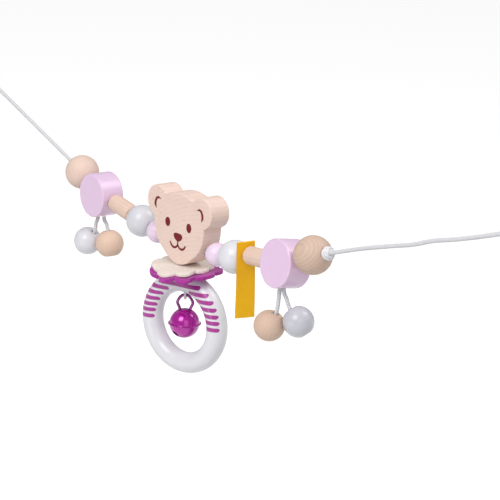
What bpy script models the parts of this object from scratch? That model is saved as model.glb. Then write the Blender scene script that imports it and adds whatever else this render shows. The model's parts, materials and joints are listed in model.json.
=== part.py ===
"""Pram chain: a wooden animal head with a ring and a bell, between beads on a cord.

Metres, +Z up, +X along the chain, the head's face towards -Y. The origin is
where the left hook bears on the bar that carries it.
"""
import math

import bmesh
import bpy
from mathutils import Matrix, Vector

MM = 0.001
GAP = 0.3

# The cord and its route: the height of each piece above the head's bore, and the space
# in front of it along the chain, outwards from the piece before it.
CORD = 2.0
LEFT_RISE = 19.0
RIGHT_RISE = 17.3
FREE_REACH = 158.0
HEAD_EXIT_X = 19.0
LEFT_HEIGHTS = {"pink": 1.8, "white": 4.8, "dowel": 6.7, "cylinder": 14.1, "end": 22.1}
RIGHT_HEIGHTS = {"pink": 1.5, "white": 4.3, "dowel": 8.3, "cylinder": 13.6, "end": 21.8}
LEFT_SPACES = {"pink": 1.9, "white": 0.05, "dowel": 1.45, "cylinder": 21.7, "end": 0.2115}
RIGHT_SPACES = {"pink": 2.0, "white": 0.35, "dowel": 2.05, "cylinder": 20.6, "end": 0.3837}
CYLINDER_TILT = 15.0
DOWEL_CLEAR = 0.7
# Hand-chosen waves of the right free cord: reach from the end ball, offset up.
RIGHT_WAVES = ((22.0, 0.2), (46.0, 0.5), (66.0, 0.1), (84.0, -0.3), (96.0, 0.35),
               (112.0, -0.1), (130.0, -0.2), (146.0, 0.1))

# Turned beads.
END_BALL_D = 22.0
WHITE_BALL_D = 20.1
SMALL_BALL_D = 14.2
DANGLE_BALL_D = 18.0
DANGLE_BORE_DEPTH = 12.5
END_FLAT_D = 6.6
LEFT_NATURAL_FLAT_D = 9.2
SMALL_FLAT_D = 6.0
DOWEL_D = 11.0
DOWEL_ROUND = 2.8
CYLINDER_D = 28.0
CYLINDER_LENGTH = 15.6
CYLINDER_ROUND = 0.9
CYLINDER_BORE_RISE = 2.1
LEFT_ROLL = 0.0
RIGHT_ROLL = -8.0
DANGLE_HOLE_DEPTH = 10.6

# Bores, as their cord and its room.
BORE = CORD + 1.8
END_BORE = CORD + 2.2
HEAD_BORE = CORD + 2.0

# Label, a ribbon folded over at the top.
LABEL_WIDTH = 12.0
LABEL_ABOVE = 8.5
LABEL_BELOW = 36.5
LABEL_YAW = 6.0
LABEL_SHIFT = -0.7
RIBBON = 0.3
LABEL_THICK = 0.9

# Head, cut from a board and drilled through from side to side.
HEAD_THICK = 14.0
HEAD_ROUND = 0.8
HEAD_YAW = 3.0
EAR_X = 21.2
EAR_Z = 24.7
EAR_R = 9.5
# The rest of the outline: angle about a point on the middle line, and radius.
OUTLINE_CENTRE_Z = 8.0
OUTLINE = ((-90, 18.8), (-68, 18.5), (-46, 18.5), (-30, 19.8), (-15, 21.6), (0, 22.9),
           (10, 23.9), (20, 24.9), (40, 25.3), (60, 25.6), (75, 25.2), (90, 25.0))
OUTLINE_STEPS = 40

# Hanger, collars and ring below the head.
HANGER_CORD = 1.6
HANGER_SPREAD = HANGER_CORD / 2 + 0.18
HANGER_CHAMBER_D = CORD + 2 * HANGER_CORD + 2.2
HANGER_CHAMBER_TOP = CORD / 2 + HANGER_CORD + 1.3
RING_TUBE_D = 12.4
RING_MIDDLE_D = 50.6
RING_YAW = 14.5
RING_HOLE = 2 * HANGER_CORD + 1.2
RING_SEAT_DEPTH = 3.8
CHIN_GAP = 0.3
COLLAR_GAP = 0.4
COLLAR_HOLE_D = 2 * HANGER_CORD + 3.0
CREAM_D = 38.0
CREAM_THICK = 2.4
CREAM_LOBES = 8
CREAM_PHASE = -15.0
MAGENTA_D = 45.0
MAGENTA_THICK = 2.4
MAGENTA_LOBES = 9
MAGENTA_PHASE = 25.0
LOBE_DEPTH = 2.2

# Bell.
BELL_D = 18.0
BELL_WALL = 0.8
FLANGE_WIDTH = 1.15
FLANGE_EDGE = 0.35
BELL_YAW = 45.0
BELL_DROP = 0.7
SLOT_WIDTH = 1.7
SLOT_REACH = 6.6
SLOT_TURN = -40.0
SLOT_HOLE_D = 3.4
SLOT_HOLE_DOWN = 43.0
PELLET_D = 5.2
LOOP_WIRE = 1.35
LOOP_FOOT = 3.3
LOOP_WIDEST = 4.7
LOOP_CORD = 1.6
LOOP_DROP = 4.1

# Knots, as barrels round the cord.
LEFT_STOP_KNOT = (5.4, 3.0)
RIGHT_STOP_KNOT = (8.0, 6.2)
HEAD_KNOT = (4.4, 2.7)
HOOK_KNOT = (6.6, 6.0)
RING_KNOT = (5.2, 3.0)
RING_SEAT_D = RING_KNOT[0] + 0.7
DANGLE_KNOT = (4.6, 3.6)

# Pairs of balls below the cylinders. A pair's turn about Z, its shift along its own line,
# its drop, how much higher its ball on the +X side hangs, and the lean of each ball's bore.
DANGLE_CORD = 2.0
DANGLE_BORE = DANGLE_CORD + 1.5
STUB_SPREAD = DANGLE_CORD / 2 + 0.15
DANGLE_HOLE_D = 2 * STUB_SPREAD + DANGLE_CORD + 1.1
LEFT_PAIR = {"turn": 18.0, "shift": -1.6, "drop": 17.95, "lift": 1.3,
             "white": 40.0, "natural": 9.0}
RIGHT_PAIR = {"turn": 29.0, "shift": 2.2, "drop": 20.6, "lift": 5.0,
              "white": 36.0, "natural": 27.0}

# Hooks: a bent rod with an eye, a sprung gate and its pin.
ROD = 3.0
HOOK_REACH = 30.0
BOW_R = 7.5
EYE_R = 4.7
GATE_ROD = 2.4
LUG_R = 3.1
LUG_THICK = 1.5
PIN_D = 1.6
PIN_HEAD_D = 3.0
PIN_CLEAR = 0.3
PIVOT_U = 8.0
PIVOT_V = -6.0
LOOP_LENGTH = 12.0


def remove_everything():
    for item in list(bpy.data.objects):
        bpy.data.objects.remove(item, do_unlink=True)


def principled(name, colour, roughness, metallic=0.0):
    material = bpy.data.materials.new(name)
    material.use_nodes = True
    shader = material.node_tree.nodes["Principled BSDF"]
    shader.inputs["Base Color"].default_value = (*colour, 1.0)
    shader.inputs["Roughness"].default_value = roughness
    shader.inputs["Metallic"].default_value = metallic
    material.diffuse_color = (*colour, 1.0)
    return material


def frame(origin, x_axis, z_axis):
    """A placing matrix from an origin in mm, an X direction and a rough Z direction."""
    x = Vector(x_axis).normalized()
    y = Vector(z_axis).cross(x).normalized()
    z = x.cross(y)
    matrix = Matrix((x, y, z)).transposed().to_4x4()
    matrix.translation = Vector(origin) * MM
    return matrix


def put(name, mesh, matrix, material):
    """One object, placed by its location and rotation."""
    thing = bpy.data.objects.new(name, mesh)
    bpy.context.collection.objects.link(thing)
    thing.matrix_world = matrix
    thing.data.materials.append(material)
    return thing


def mesh_from(name, bm):
    bmesh.ops.recalc_face_normals(bm, faces=bm.faces)
    for face in bm.faces:
        face.smooth = True
    mesh = bpy.data.meshes.new(name)
    bm.to_mesh(mesh)
    bm.free()
    mesh.set_sharp_from_angle(angle=math.radians(40))
    return mesh


def turned(name, profile, segments, start=0.0):
    """A turned piece about X. The profile lists (along X, radius) in mm, in order."""
    bm = bmesh.new()
    points = []
    for along, radius in profile:
        points.append(bm.verts.new((along * MM, 0.0, max(radius, 0.0) * MM)))
    edges = []
    closed = profile[0][1] > 0.0
    count = len(points)
    for i in range(count if closed else count - 1):
        edges.append(bm.edges.new((points[i], points[(i + 1) % count])))
    if start:
        bmesh.ops.rotate(bm, verts=points, cent=(0, 0, 0), matrix=Matrix.Rotation(start, 3, "X"))
    bmesh.ops.spin(bm, geom=points + edges, cent=(0, 0, 0), axis=(1, 0, 0),
                   angle=math.tau, steps=segments, use_merge=True)
    bmesh.ops.remove_doubles(bm, verts=bm.verts, dist=0.000002)
    return mesh_from(name, bm)


def ball_profile(diameter, flat, bore, depth=None, arc=9, far_flat=None):
    """Ball with turned flats at both ends of its bore, a blind one if depth is given."""
    radius = diameter / 2
    near = math.asin(flat / diameter)
    far = math.asin((far_flat or flat) / diameter)
    curve = []
    for i in range(arc + 1):
        angle = near + (math.pi - near - far) * i / arc
        curve.append((radius * math.cos(angle), radius * math.sin(angle)))
    if depth is None:
        return [(curve[0][0], bore / 2)] + curve + [(curve[-1][0], bore / 2)]
    inside = curve[0][0] - depth
    return ([(inside, 0.0), (inside, bore / 2), (curve[0][0], bore / 2)] + curve
            + [(curve[-1][0], 0.0)])


def barrel_profile(diameter, length, bore):
    """A knot as a barrel with round shoulders on its cord."""
    half = length / 2
    radius = diameter / 2
    shoulder = min(0.42 * length, radius - bore / 2 - 0.2)
    points = [(half, bore / 2)]
    for i in range(4):
        angle = math.pi / 2 * i / 3
        points.append((half - shoulder + shoulder * math.cos(angle),
                       radius - shoulder + shoulder * math.sin(angle)))
    for i in range(4):
        angle = math.pi / 2 + math.pi / 2 * i / 3
        points.append((-half + shoulder + shoulder * math.cos(angle),
                       radius - shoulder + shoulder * math.sin(angle)))
    points.append((-half, bore / 2))
    return points


def smooth_points(route, step, closed=False):
    """Points at even steps along a smooth curve through the route's own points, in mm."""
    nodes = [Vector(point) for point in route]
    count = len(nodes)
    spans = count if closed else count - 1
    dense = []
    for i in range(spans):
        p1 = nodes[i]
        p2 = nodes[(i + 1) % count]
        p0 = nodes[(i - 1) % count] if closed or i > 0 else p1 * 2 - p2
        p3 = nodes[(i + 2) % count] if closed or i + 2 < count else p2 * 2 - p1
        d1 = max((p2 - p1).length, 1e-6)
        d0 = max((p1 - p0).length, 1e-6)
        d2 = max((p3 - p2).length, 1e-6)
        m1 = (p2 - p1) / d1 * (d0 / (d0 + d1)) + (p1 - p0) / d0 * (d1 / (d0 + d1))
        m2 = (p3 - p2) / d2 * (d1 / (d1 + d2)) + (p2 - p1) / d1 * (d2 / (d1 + d2))
        for k in range(24):
            t = k / 24
            dense.append(p1 * (2 * t ** 3 - 3 * t ** 2 + 1) + m1 * d1 * (t ** 3 - 2 * t ** 2 + t)
                         + p2 * (3 * t ** 2 - 2 * t ** 3) + m2 * d1 * (t ** 3 - t ** 2))
    if not closed:
        dense.append(nodes[-1])
    lengths = [0.0]
    pairs = list(zip(dense, dense[1:] + dense[:1])) if closed else list(zip(dense, dense[1:]))
    for a, b in pairs:
        lengths.append(lengths[-1] + (b - a).length)
    steps = max(3, round(lengths[-1] / step))
    points = []
    for i in range(steps if closed else steps + 1):
        want = lengths[-1] * i / steps
        k = max(j for j in range(len(pairs)) if lengths[j] <= want + 1e-9)
        a, b = pairs[k]
        share = (want - lengths[k]) / max(lengths[k + 1] - lengths[k], 1e-9)
        points.append(a.lerp(b, share))
    return points


def cord_curve(name, points, diameter, sides, material, at=(0, 0, 0), closed=False):
    """A tube along the points, which are in mm from the place where its origin is."""
    curve = bpy.data.curves.new(name, "CURVE")
    curve.dimensions = "3D"
    curve.bevel_depth = diameter / 2 * MM
    curve.bevel_resolution = sides
    curve.use_fill_caps = not closed
    curve.twist_mode = "MINIMUM"
    spline = curve.splines.new("POLY")
    spline.points.add(len(points) - 1)
    spline.use_cyclic_u = closed
    for point, place in zip(spline.points, points):
        point.co = (*(Vector(place) * MM), 1.0)
    thing = bpy.data.objects.new(name, curve)
    bpy.context.collection.objects.link(thing)
    thing.location = Vector(at) * MM
    curve.materials.append(material)
    return thing


def bent_rod(name, points, diameter, sides):
    """A round rod swept along points, as a mesh, so that Booleans can join on to it."""
    bm = bmesh.new()
    rings = []
    side = None
    for i, point in enumerate(points):
        ahead = (points[min(i + 1, len(points) - 1)] - points[max(i - 1, 0)]).normalized()
        if side is None:
            side = ahead.orthogonal().normalized()
        side = (side - ahead * side.dot(ahead)).normalized()
        other = ahead.cross(side)
        ring = []
        for k in range(sides):
            angle = math.tau * k / sides
            offset = (side * math.cos(angle) + other * math.sin(angle)) * diameter / 2
            ring.append(bm.verts.new((point + offset) * MM))
        rings.append(ring)
    for near, far in zip(rings, rings[1:]):
        for k in range(sides):
            j = (k + 1) % sides
            bm.faces.new((near[k], near[j], far[j], far[k]))
    bm.faces.new(rings[0])
    bm.faces.new(rings[-1])
    return mesh_from(name, bm)


def cut(thing, cutter, operation="DIFFERENCE"):
    """A Boolean with a hidden tool, which rides on the piece that it cuts."""
    cutter.hide_render = True
    cutter.display_type = "WIRE"
    modifier = thing.modifiers.new(cutter.name, "BOOLEAN")
    modifier.operation = operation
    modifier.solver = "EXACT"
    modifier.object = cutter


def rod_tool(name, diameter, start, end, matrix, material, sides=20):
    """A round tool between two points of a placing frame, in mm."""
    a = Vector(start)
    b = Vector(end)
    direction = (b - a).normalized()
    side = Vector((0, 0, 1)) if abs(direction.z) < 0.9 else Vector((0, 1, 0))
    place = matrix @ frame(a, direction, side)
    length = (b - a).length
    profile = [(length, 0.0), (length, diameter / 2), (0.0, diameter / 2), (0.0, 0.0)]
    return put(name, turned(name, profile, sides), place, material)


remove_everything()

WOOD = (0.80, 0.62, 0.47)
PINK = (0.76, 0.52, 0.74)
WHITE = (0.80, 0.80, 0.84)
CORD_WHITE = (0.82, 0.82, 0.84)
MAGENTA = (0.43, 0.02, 0.33)


# Places on the chain. The head's bore is the chain's own zero.
def rise(side):
    return math.radians(LEFT_RISE if side < 0 else RIGHT_RISE)


def outward(side):
    return Vector((side * math.cos(rise(side)), 0.0, math.sin(rise(side))))


def outward_reaches(side):
    """How far out each piece of a side is, from the sizes and the spaces between them."""
    heights = LEFT_HEIGHTS if side < 0 else RIGHT_HEIGHTS
    spaces = LEFT_SPACES if side < 0 else RIGHT_SPACES
    reach = {"pink": HEAD_EXIT_X + HEAD_KNOT[1] + SMALL_BALL_D / 2 + spaces["pink"]}
    reach["white"] = reach["pink"] + (SMALL_BALL_D + WHITE_BALL_D) / 2 + spaces["white"]
    reach["dowel"] = reach["white"] + WHITE_BALL_D / 2 + spaces["dowel"]
    reach["cylinder"] = reach["dowel"] + spaces["cylinder"] + CYLINDER_D / 2
    touch = (CYLINDER_D + END_BALL_D) / 2 + spaces["end"]
    climb = heights["end"] - heights["cylinder"] + CYLINDER_BORE_RISE
    reach["end"] = reach["cylinder"] + math.sqrt(touch ** 2 - climb ** 2)
    return reach


def station(side, name):
    """A place on the cord's route, in mm from the head's bore."""
    height = (LEFT_HEIGHTS if side < 0 else RIGHT_HEIGHTS)[name]
    return Vector((side * outward_reaches(side)[name], 0.0, height))


HOOK_START = FREE_REACH + LOOP_LENGTH + HOOK_KNOT[1]
HEAD_AT = -(station(-1, "end") + outward(-1) * (HOOK_START + HOOK_REACH))


def place(x, y, z):
    """A point given from the head's bore, in mm from the origin."""
    return HEAD_AT + Vector((x, y, z))


yaw_tan = math.tan(math.radians(HEAD_YAW))
bore_drift = HEAD_EXIT_X * yaw_tan / 2
def drum_bore(side):
    """Half of the bore through the cylinder, as a step outwards along the cord."""
    tilt = math.radians(CYLINDER_TILT)
    return Vector((side * math.cos(tilt), 0.0, math.sin(tilt))) * CYLINDER_D / 2


def half_route(side):
    """The threaded cord's stations from the head out to an end ball."""
    drum = station(side, "cylinder")
    return [Vector((side * HEAD_EXIT_X, side * bore_drift, 0.15)), station(side, "pink"),
            station(side, "white"), station(side, "dowel"), drum - drum_bore(side),
            drum + drum_bore(side), station(side, "end")]


chain_route = list(reversed(half_route(-1))) + [Vector((0, 0, 0))] + half_route(1)


def tangent_at(x):
    """Direction of the threaded cord at a distance along X."""
    points = smooth_points(chain_route, 2.0)
    nearest = min(range(1, len(points) - 1), key=lambda i: abs(points[i].x - x))
    return (points[nearest + 1] - points[nearest - 1]).normalized()


def route_z(x):
    points = smooth_points(chain_route, 1.0)
    k = max(i for i in range(len(points) - 1) if points[i].x <= x)
    share = (x - points[k].x) / (points[k + 1].x - points[k].x)
    return points[k].lerp(points[k + 1], share).z


# The main cord, from the outer side of one end ball to that of the other.
end_radius = END_BALL_D / 2
flat_reach = math.sqrt(end_radius ** 2 - (END_FLAT_D / 2) ** 2)
cord_material = principled("main cord white", CORD_WHITE, 0.85)
ends = []
for side, stop in ((-1, LEFT_STOP_KNOT), (1, RIGHT_STOP_KNOT)):
    ends.append(station(side, "end") + outward(side) * (flat_reach + stop[1] / 2))
full_route = [ends[0]] + chain_route + [ends[1]]
cord_curve("main_cord", smooth_points(full_route, 5.2), CORD, 2, cord_material, at=HEAD_AT)

SIDES = ((-1, "left"), (1, "right"))

for side, word in SIDES:
    away = outward(side)
    up = Vector((0, 0, 1))
    ball_at = HEAD_AT + station(side, "end")
    lean = Vector((-away.z * side, 0.0, abs(away.x)))

    # End ball, with its bore along the cord.
    ball_axis = (away + tangent_at(station(side, "end").x) * side).normalized()
    mesh = turned(word + "_end_ball", ball_profile(END_BALL_D, END_FLAT_D, END_BORE, arc=9), 22)
    put(word + "_end_ball", mesh, frame(ball_at, ball_axis, up),
        principled(word + " end ball beech", WOOD, 0.6))

    # Stop knot against the outer flat.
    stop = LEFT_STOP_KNOT if side < 0 else RIGHT_STOP_KNOT
    knot_at = ball_at + away * (flat_reach + GAP + stop[1] / 2)
    mesh = turned(word + "_stop_knot", barrel_profile(*stop, CORD + 2 * GAP), 12)
    put(word + "_stop_knot", mesh, frame(knot_at, away, up),
        principled(word + " stop knot white", CORD_WHITE, 0.85))

    # Free cord, taut to the hook's loop.
    free_start = flat_reach + stop[1] / 2 + GAP
    waves = RIGHT_WAVES if side > 0 else ()
    route = [away * free_start]
    for reach, offset in waves:
        route.append(away * reach + lean * offset)
    route.append(away * (FREE_REACH + HOOK_KNOT[1] / 2))
    cord_curve(word + "_free_cord", smooth_points(route, 5.6), CORD, 2,
               principled(word + " free cord white", CORD_WHITE, 0.85), at=ball_at)

    # Knot, and the loop of cord that goes through the hook's eye.
    knot_at = ball_at + away * (FREE_REACH + HOOK_KNOT[1] / 2)
    mesh = turned(word + "_hook_knot", barrel_profile(*HOOK_KNOT, CORD + 2 * GAP), 12)
    put(word + "_hook_knot", mesh, frame(knot_at, away, up),
        principled(word + " hook knot white", CORD_WHITE, 0.85))
    hook_frame = frame(ball_at + away * HOOK_START, away, up)
    bend = ROD / 2 + 2 * GAP + CORD / 2
    loop = [(-LOOP_LENGTH + 2 * GAP, 1.15, 0), (-10.0, 1.9, 0), (-EYE_R - 1.5, bend, 0),
            (-EYE_R + 0.4, bend, 0), (-EYE_R + 0.72 * bend, 0.72 * bend, 0),
            (-EYE_R + bend, 0, 0)]
    loop = loop + [(x, -y, z) for x, y, z in reversed(loop[:-1])]
    turned_loop = [hook_frame.to_3x3() @ Vector(point) for point in loop]
    cord_curve(word + "_hook_loop", smooth_points(turned_loop, 1.9), CORD, 2,
               principled(word + " hook loop white", CORD_WHITE, 0.85),
               at=hook_frame.translation / MM)

    # Hook: rod from the nose round the bow and the eye to the lug.
    bow_u = HOOK_REACH + ROD / 2 - BOW_R
    rod_route = [(bow_u - 3.6, 0, -BOW_R + 0.9), (bow_u, 0, -BOW_R),
                 (bow_u + 0.71 * BOW_R, 0, -0.71 * BOW_R), (bow_u + BOW_R, 0, 0),
                 (bow_u + 0.71 * BOW_R, 0, 0.71 * BOW_R), (bow_u, 0, BOW_R),
                 (bow_u - 8.0, 0, BOW_R - 0.5), (3.0, 0, EYE_R + 0.4), (0, 0, EYE_R),
                 (-0.71 * EYE_R, 0, 0.71 * EYE_R), (-EYE_R, 0, 0),
                 (-0.71 * EYE_R, 0, -0.71 * EYE_R), (0, 0, -EYE_R - 0.1),
                 (PIVOT_U - 3.5, 0, PIVOT_V + 0.5)]
    metal = principled(word + " hook steel", (0.62, 0.62, 0.64), 0.3, 1.0)
    hook = put(word + "_hook", bent_rod(word + "_hook", smooth_points(rod_route, 3.2), ROD, 10),
               hook_frame, metal)
    flat = rod_tool(word + "_lug_blank", 2 * LUG_R, (PIVOT_U, GAP / 2, PIVOT_V),
                    (PIVOT_U, GAP / 2 + LUG_THICK, PIVOT_V), hook_frame, metal)
    web = rod_tool(word + "_lug_web", ROD - 0.6, (PIVOT_U - 4.2, 0.9, PIVOT_V + 0.6),
                   (PIVOT_U - PIN_HEAD_D / 2 - 0.4, 0.9, PIVOT_V + 0.3), hook_frame, metal, 12)
    relief = rod_tool(word + "_lug_relief", 2 * LUG_R + 1.2, (PIVOT_U, GAP / 2, PIVOT_V),
                      (PIVOT_U, -4.0, PIVOT_V), hook_frame, metal)
    hole = rod_tool(word + "_lug_hole", PIN_D + 2 * PIN_CLEAR, (PIVOT_U, -5.0, PIVOT_V),
                    (PIVOT_U, 5.0, PIVOT_V), hook_frame, metal)
    cut(hook, flat, "UNION")
    cut(hook, web, "UNION")
    cut(hook, relief)
    cut(hook, hole)

    # Gate, closed against the inside of the nose.
    pivot = hook_frame @ (Vector((PIVOT_U, 0, PIVOT_V)) * MM)
    gate_frame = hook_frame.copy()
    gate_frame.translation = pivot
    gate_metal = principled(word + " gate steel", (0.62, 0.62, 0.64), 0.3, 1.0)
    gate = rod_tool(word + "_gate", 2 * LUG_R, (0, -GAP / 2, 0), (0, -GAP / 2 - LUG_THICK, 0),
                    gate_frame, gate_metal)
    blade = gate.matrix_world.copy()
    gate.data.transform(gate_frame.inverted() @ blade)
    gate.matrix_world = gate_frame
    nose = Vector(rod_route[0]) - Vector((PIVOT_U, 0, PIVOT_V))
    arm_y = -GATE_ROD / 2
    tip = nose + Vector((0.6, arm_y, (ROD + GATE_ROD) / 2 + GAP))
    arm = rod_tool(word + "_gate_arm", GATE_ROD, (PIN_HEAD_D / 2 + 0.8, arm_y, 0.3), tip,
                   gate_frame, gate_metal, 14)
    bore = rod_tool(word + "_gate_hole", PIN_D + 2 * PIN_CLEAR, (0, -4.0, 0), (0, 4.0, 0),
                    gate_frame, gate_metal)
    cut(gate, arm, "UNION")
    cut(gate, bore)

    # Pin with a head at each end.
    half = LUG_THICK + GAP / 2 + GAP
    profile = [(half + 0.8, 0.0), (half + 0.8, PIN_HEAD_D / 2 - 0.3),
               (half + 0.5, PIN_HEAD_D / 2), (half, PIN_HEAD_D / 2), (half, PIN_D / 2),
               (-half, PIN_D / 2), (-half, PIN_HEAD_D / 2), (-half - 0.5, PIN_HEAD_D / 2),
               (-half - 0.8, PIN_HEAD_D / 2 - 0.3), (-half - 0.8, 0.0)]
    across = hook_frame.to_3x3() @ Vector((0, 1, 0))
    put(word + "_gate_pin", turned(word + "_gate_pin", profile, 14),
        frame(pivot / MM, across, away), principled(word + " pin steel", (0.6, 0.6, 0.62), 0.3, 1))

    # Knots that keep the head in the middle.
    small_face = math.sqrt((SMALL_BALL_D / 2) ** 2 - (SMALL_FLAT_D / 2) ** 2)
    knot_x = abs(station(side, "pink").x) - small_face - GAP - HEAD_KNOT[1] / 2
    knot_at = place(side * knot_x, side * bore_drift * 0.85, route_z(side * knot_x))
    mesh = turned(word + "_head_knot", barrel_profile(*HEAD_KNOT, CORD + 2 * GAP), 10)
    put(word + "_head_knot", mesh, frame(knot_at, tangent_at(side * knot_x), up),
        principled(word + " head knot white", CORD_WHITE, 0.85))

    # Small pink ball and white ball.
    at = station(side, "pink")
    mesh = turned(word + "_pink_ball", ball_profile(SMALL_BALL_D, SMALL_FLAT_D, BORE, arc=7), 20)
    put(word + "_pink_ball", mesh, frame(HEAD_AT + at, tangent_at(at.x), up),
        principled(word + " small ball pink", PINK, 0.35))
    at = station(side, "white")
    mesh = turned(word + "_white_ball", ball_profile(WHITE_BALL_D, END_FLAT_D, BORE, arc=8), 22)
    put(word + "_white_ball", mesh, frame(HEAD_AT + at, tangent_at(at.x), up),
        principled(word + " ball white", WHITE, 0.35))

    # Dowel, from its station out to the cylinder.
    start = station(side, "dowel")
    drum = station(side, "cylinder")
    drum_middle = drum - Vector((0, 0, CYLINDER_BORE_RISE))
    lane_dir = (drum - drum_bore(side) - start).normalized()
    dowel_length = (drum_middle - start).dot(lane_dir) - CYLINDER_D / 2 - DOWEL_CLEAR
    dowel_at = HEAD_AT + start + lane_dir * dowel_length / 2
    half = dowel_length / 2
    radius = DOWEL_D / 2
    profile = [(half, BORE / 2)]
    for i in range(4):
        angle = math.pi / 2 * i / 3
        profile.append((half - DOWEL_ROUND + DOWEL_ROUND * math.cos(angle),
                        radius - DOWEL_ROUND + DOWEL_ROUND * math.sin(angle)))
    for i in range(4):
        angle = math.pi / 2 + math.pi / 2 * i / 3
        profile.append((-half + DOWEL_ROUND + DOWEL_ROUND * math.cos(angle),
                        radius - DOWEL_ROUND + DOWEL_ROUND * math.sin(angle)))
    profile.append((-half, BORE / 2))
    put(word + "_dowel", turned(word + "_dowel", profile, 20), frame(dowel_at, lane_dir, up),
        principled(word + " dowel beech", WOOD, 0.6))

    # Cylinder on its side, drilled across for the cord and from below for the dangles.
    cyl_at = HEAD_AT + drum
    roll = math.radians(LEFT_ROLL if side < 0 else RIGHT_ROLL)
    rolling = Matrix.Rotation(roll, 3, Vector((side * drum_bore(side).x, 0, 0)) * side)
    cyl_frame = frame(cyl_at, drum_bore(side), rolling @ up)
    down = rolling @ Vector((0, 0, -1))
    half = CYLINDER_LENGTH / 2
    radius = CYLINDER_D / 2
    profile = [(half, 0.0)]
    for i in range(3):
        angle = math.pi / 2 * i / 2
        profile.append((half - CYLINDER_ROUND + CYLINDER_ROUND * math.cos(angle),
                        radius - CYLINDER_ROUND + CYLINDER_ROUND * math.sin(angle)))
    for i in range(3):
        angle = math.pi / 2 + math.pi / 2 * i / 2
        profile.append((-half + CYLINDER_ROUND + CYLINDER_ROUND * math.cos(angle),
                        radius - CYLINDER_ROUND + CYLINDER_ROUND * math.sin(angle)))
    profile.append((-half, 0.0))
    mesh = turned(word + "_cylinder", profile, 36)
    centre = cyl_at + down * CYLINDER_BORE_RISE
    mesh.transform(cyl_frame.inverted() @ frame(centre, rolling @ Vector((0, -1, 0)), -down))
    pink = principled(word + " cylinder pink", PINK, 0.3)
    cylinder = put(word + "_cylinder", mesh, cyl_frame, pink)
    through = rod_tool(word + "_cylinder_bore", BORE + 0.6, (-radius * 1.3, 0, 0),
                       (radius * 1.3, 0, 0), cyl_frame, pink)
    underside = centre + down * radius
    upright = frame(underside, rolling @ Vector((1, 0, 0)), -down)
    well = rod_tool(word + "_dangle_hole", DANGLE_HOLE_D, (0, 0, -3.0),
                    (0, 0, DANGLE_HOLE_DEPTH), upright, pink)
    cut(cylinder, through)
    cut(cylinder, well)

    # Knot and stubs inside the cylinder, then the two dangles.
    layout = LEFT_PAIR if side < 0 else RIGHT_PAIR
    turn = math.radians(layout["turn"])
    pair = Vector((math.cos(turn), math.sin(turn), 0.0))
    knot_z = DANGLE_HOLE_DEPTH - GAP - DANGLE_KNOT[1] / 2
    mesh = turned(word + "_dangle_knot",
                  [(DANGLE_KNOT[1] / 2, 0.0)]
                  + barrel_profile(DANGLE_KNOT[0], DANGLE_KNOT[1], 0.8)[1:-1]
                  + [(-DANGLE_KNOT[1] / 2, 0.0)], 14)
    knot_frame = frame(underside - down * knot_z, -down, pair)
    knot = put(word + "_dangle_knot", mesh, knot_frame,
               principled(word + " dangle knot white", CORD_WHITE, 0.85))
    for hand in (-1, 1):
        tint = "white" if hand == side else "natural"
        stub = rod_tool(word + "_stub_" + tint, DANGLE_CORD,
                        pair * hand * STUB_SPREAD + Vector((0, 0, 2 * GAP)),
                        pair * hand * STUB_SPREAD + Vector((0, 0, knot_z)),
                        upright, knot.data.materials[0], 10)
        cut(knot, stub, "UNION")
        mouth = underside + pair * hand * STUB_SPREAD
        lift = layout["lift"] / 2
        spread = math.sqrt((DANGLE_BALL_D / 2 + GAP / 2) ** 2 - lift ** 2)
        ball_from_mouth = (pair * (hand * (spread - STUB_SPREAD) + layout["shift"])
                           + Vector((0, 0, hand * lift - layout["drop"])))
        lean = math.radians(layout[tint])
        bore_up = Vector((0, 0, math.cos(lean))) - pair * hand * math.sin(lean)
        flat_edge = math.sqrt((DANGLE_BALL_D / 2) ** 2 - (END_FLAT_D / 2) ** 2)
        far_flat = LEFT_NATURAL_FLAT_D if (side, tint) == (-1, "natural") else END_FLAT_D
        mesh = turned(word + "_" + tint + "_dangle_ball",
                      ball_profile(DANGLE_BALL_D, END_FLAT_D, DANGLE_BORE, DANGLE_BORE_DEPTH,
                                   arc=8, far_flat=far_flat), 22)
        colour = WHITE if tint == "white" else WOOD
        ball = put(word + "_" + tint + "_dangle_ball", mesh,
                   frame(mouth + ball_from_mouth, bore_up, pair),
                   principled(word + " " + tint + " dangle ball", colour,
                              0.35 if tint == "white" else 0.6))
        ball.data.transform(Matrix.Translation(mouth * MM).inverted() @ ball.matrix_world)
        ball.matrix_world = Matrix.Translation(mouth * MM)
        entry = ball_from_mouth + bore_up * flat_edge
        route = [Vector((0, 0, -0.3)), Vector((0, 0, -2.2)) + pair * hand * 0.1,
                 entry * 0.5 + Vector((0, 0, 0.6)) - pair * hand * 0.25,
                 entry + bore_up * 1.2, entry - bore_up * (DANGLE_BORE_DEPTH * 0.5),
                 entry - bore_up * (DANGLE_BORE_DEPTH - GAP)]
        cord_curve(word + "_" + tint + "_dangle_cord", smooth_points(route, 2.9),
                   DANGLE_CORD, 2, principled(word + " " + tint + " dangle cord", CORD_WHITE,
                                              0.85), at=mouth)

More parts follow.
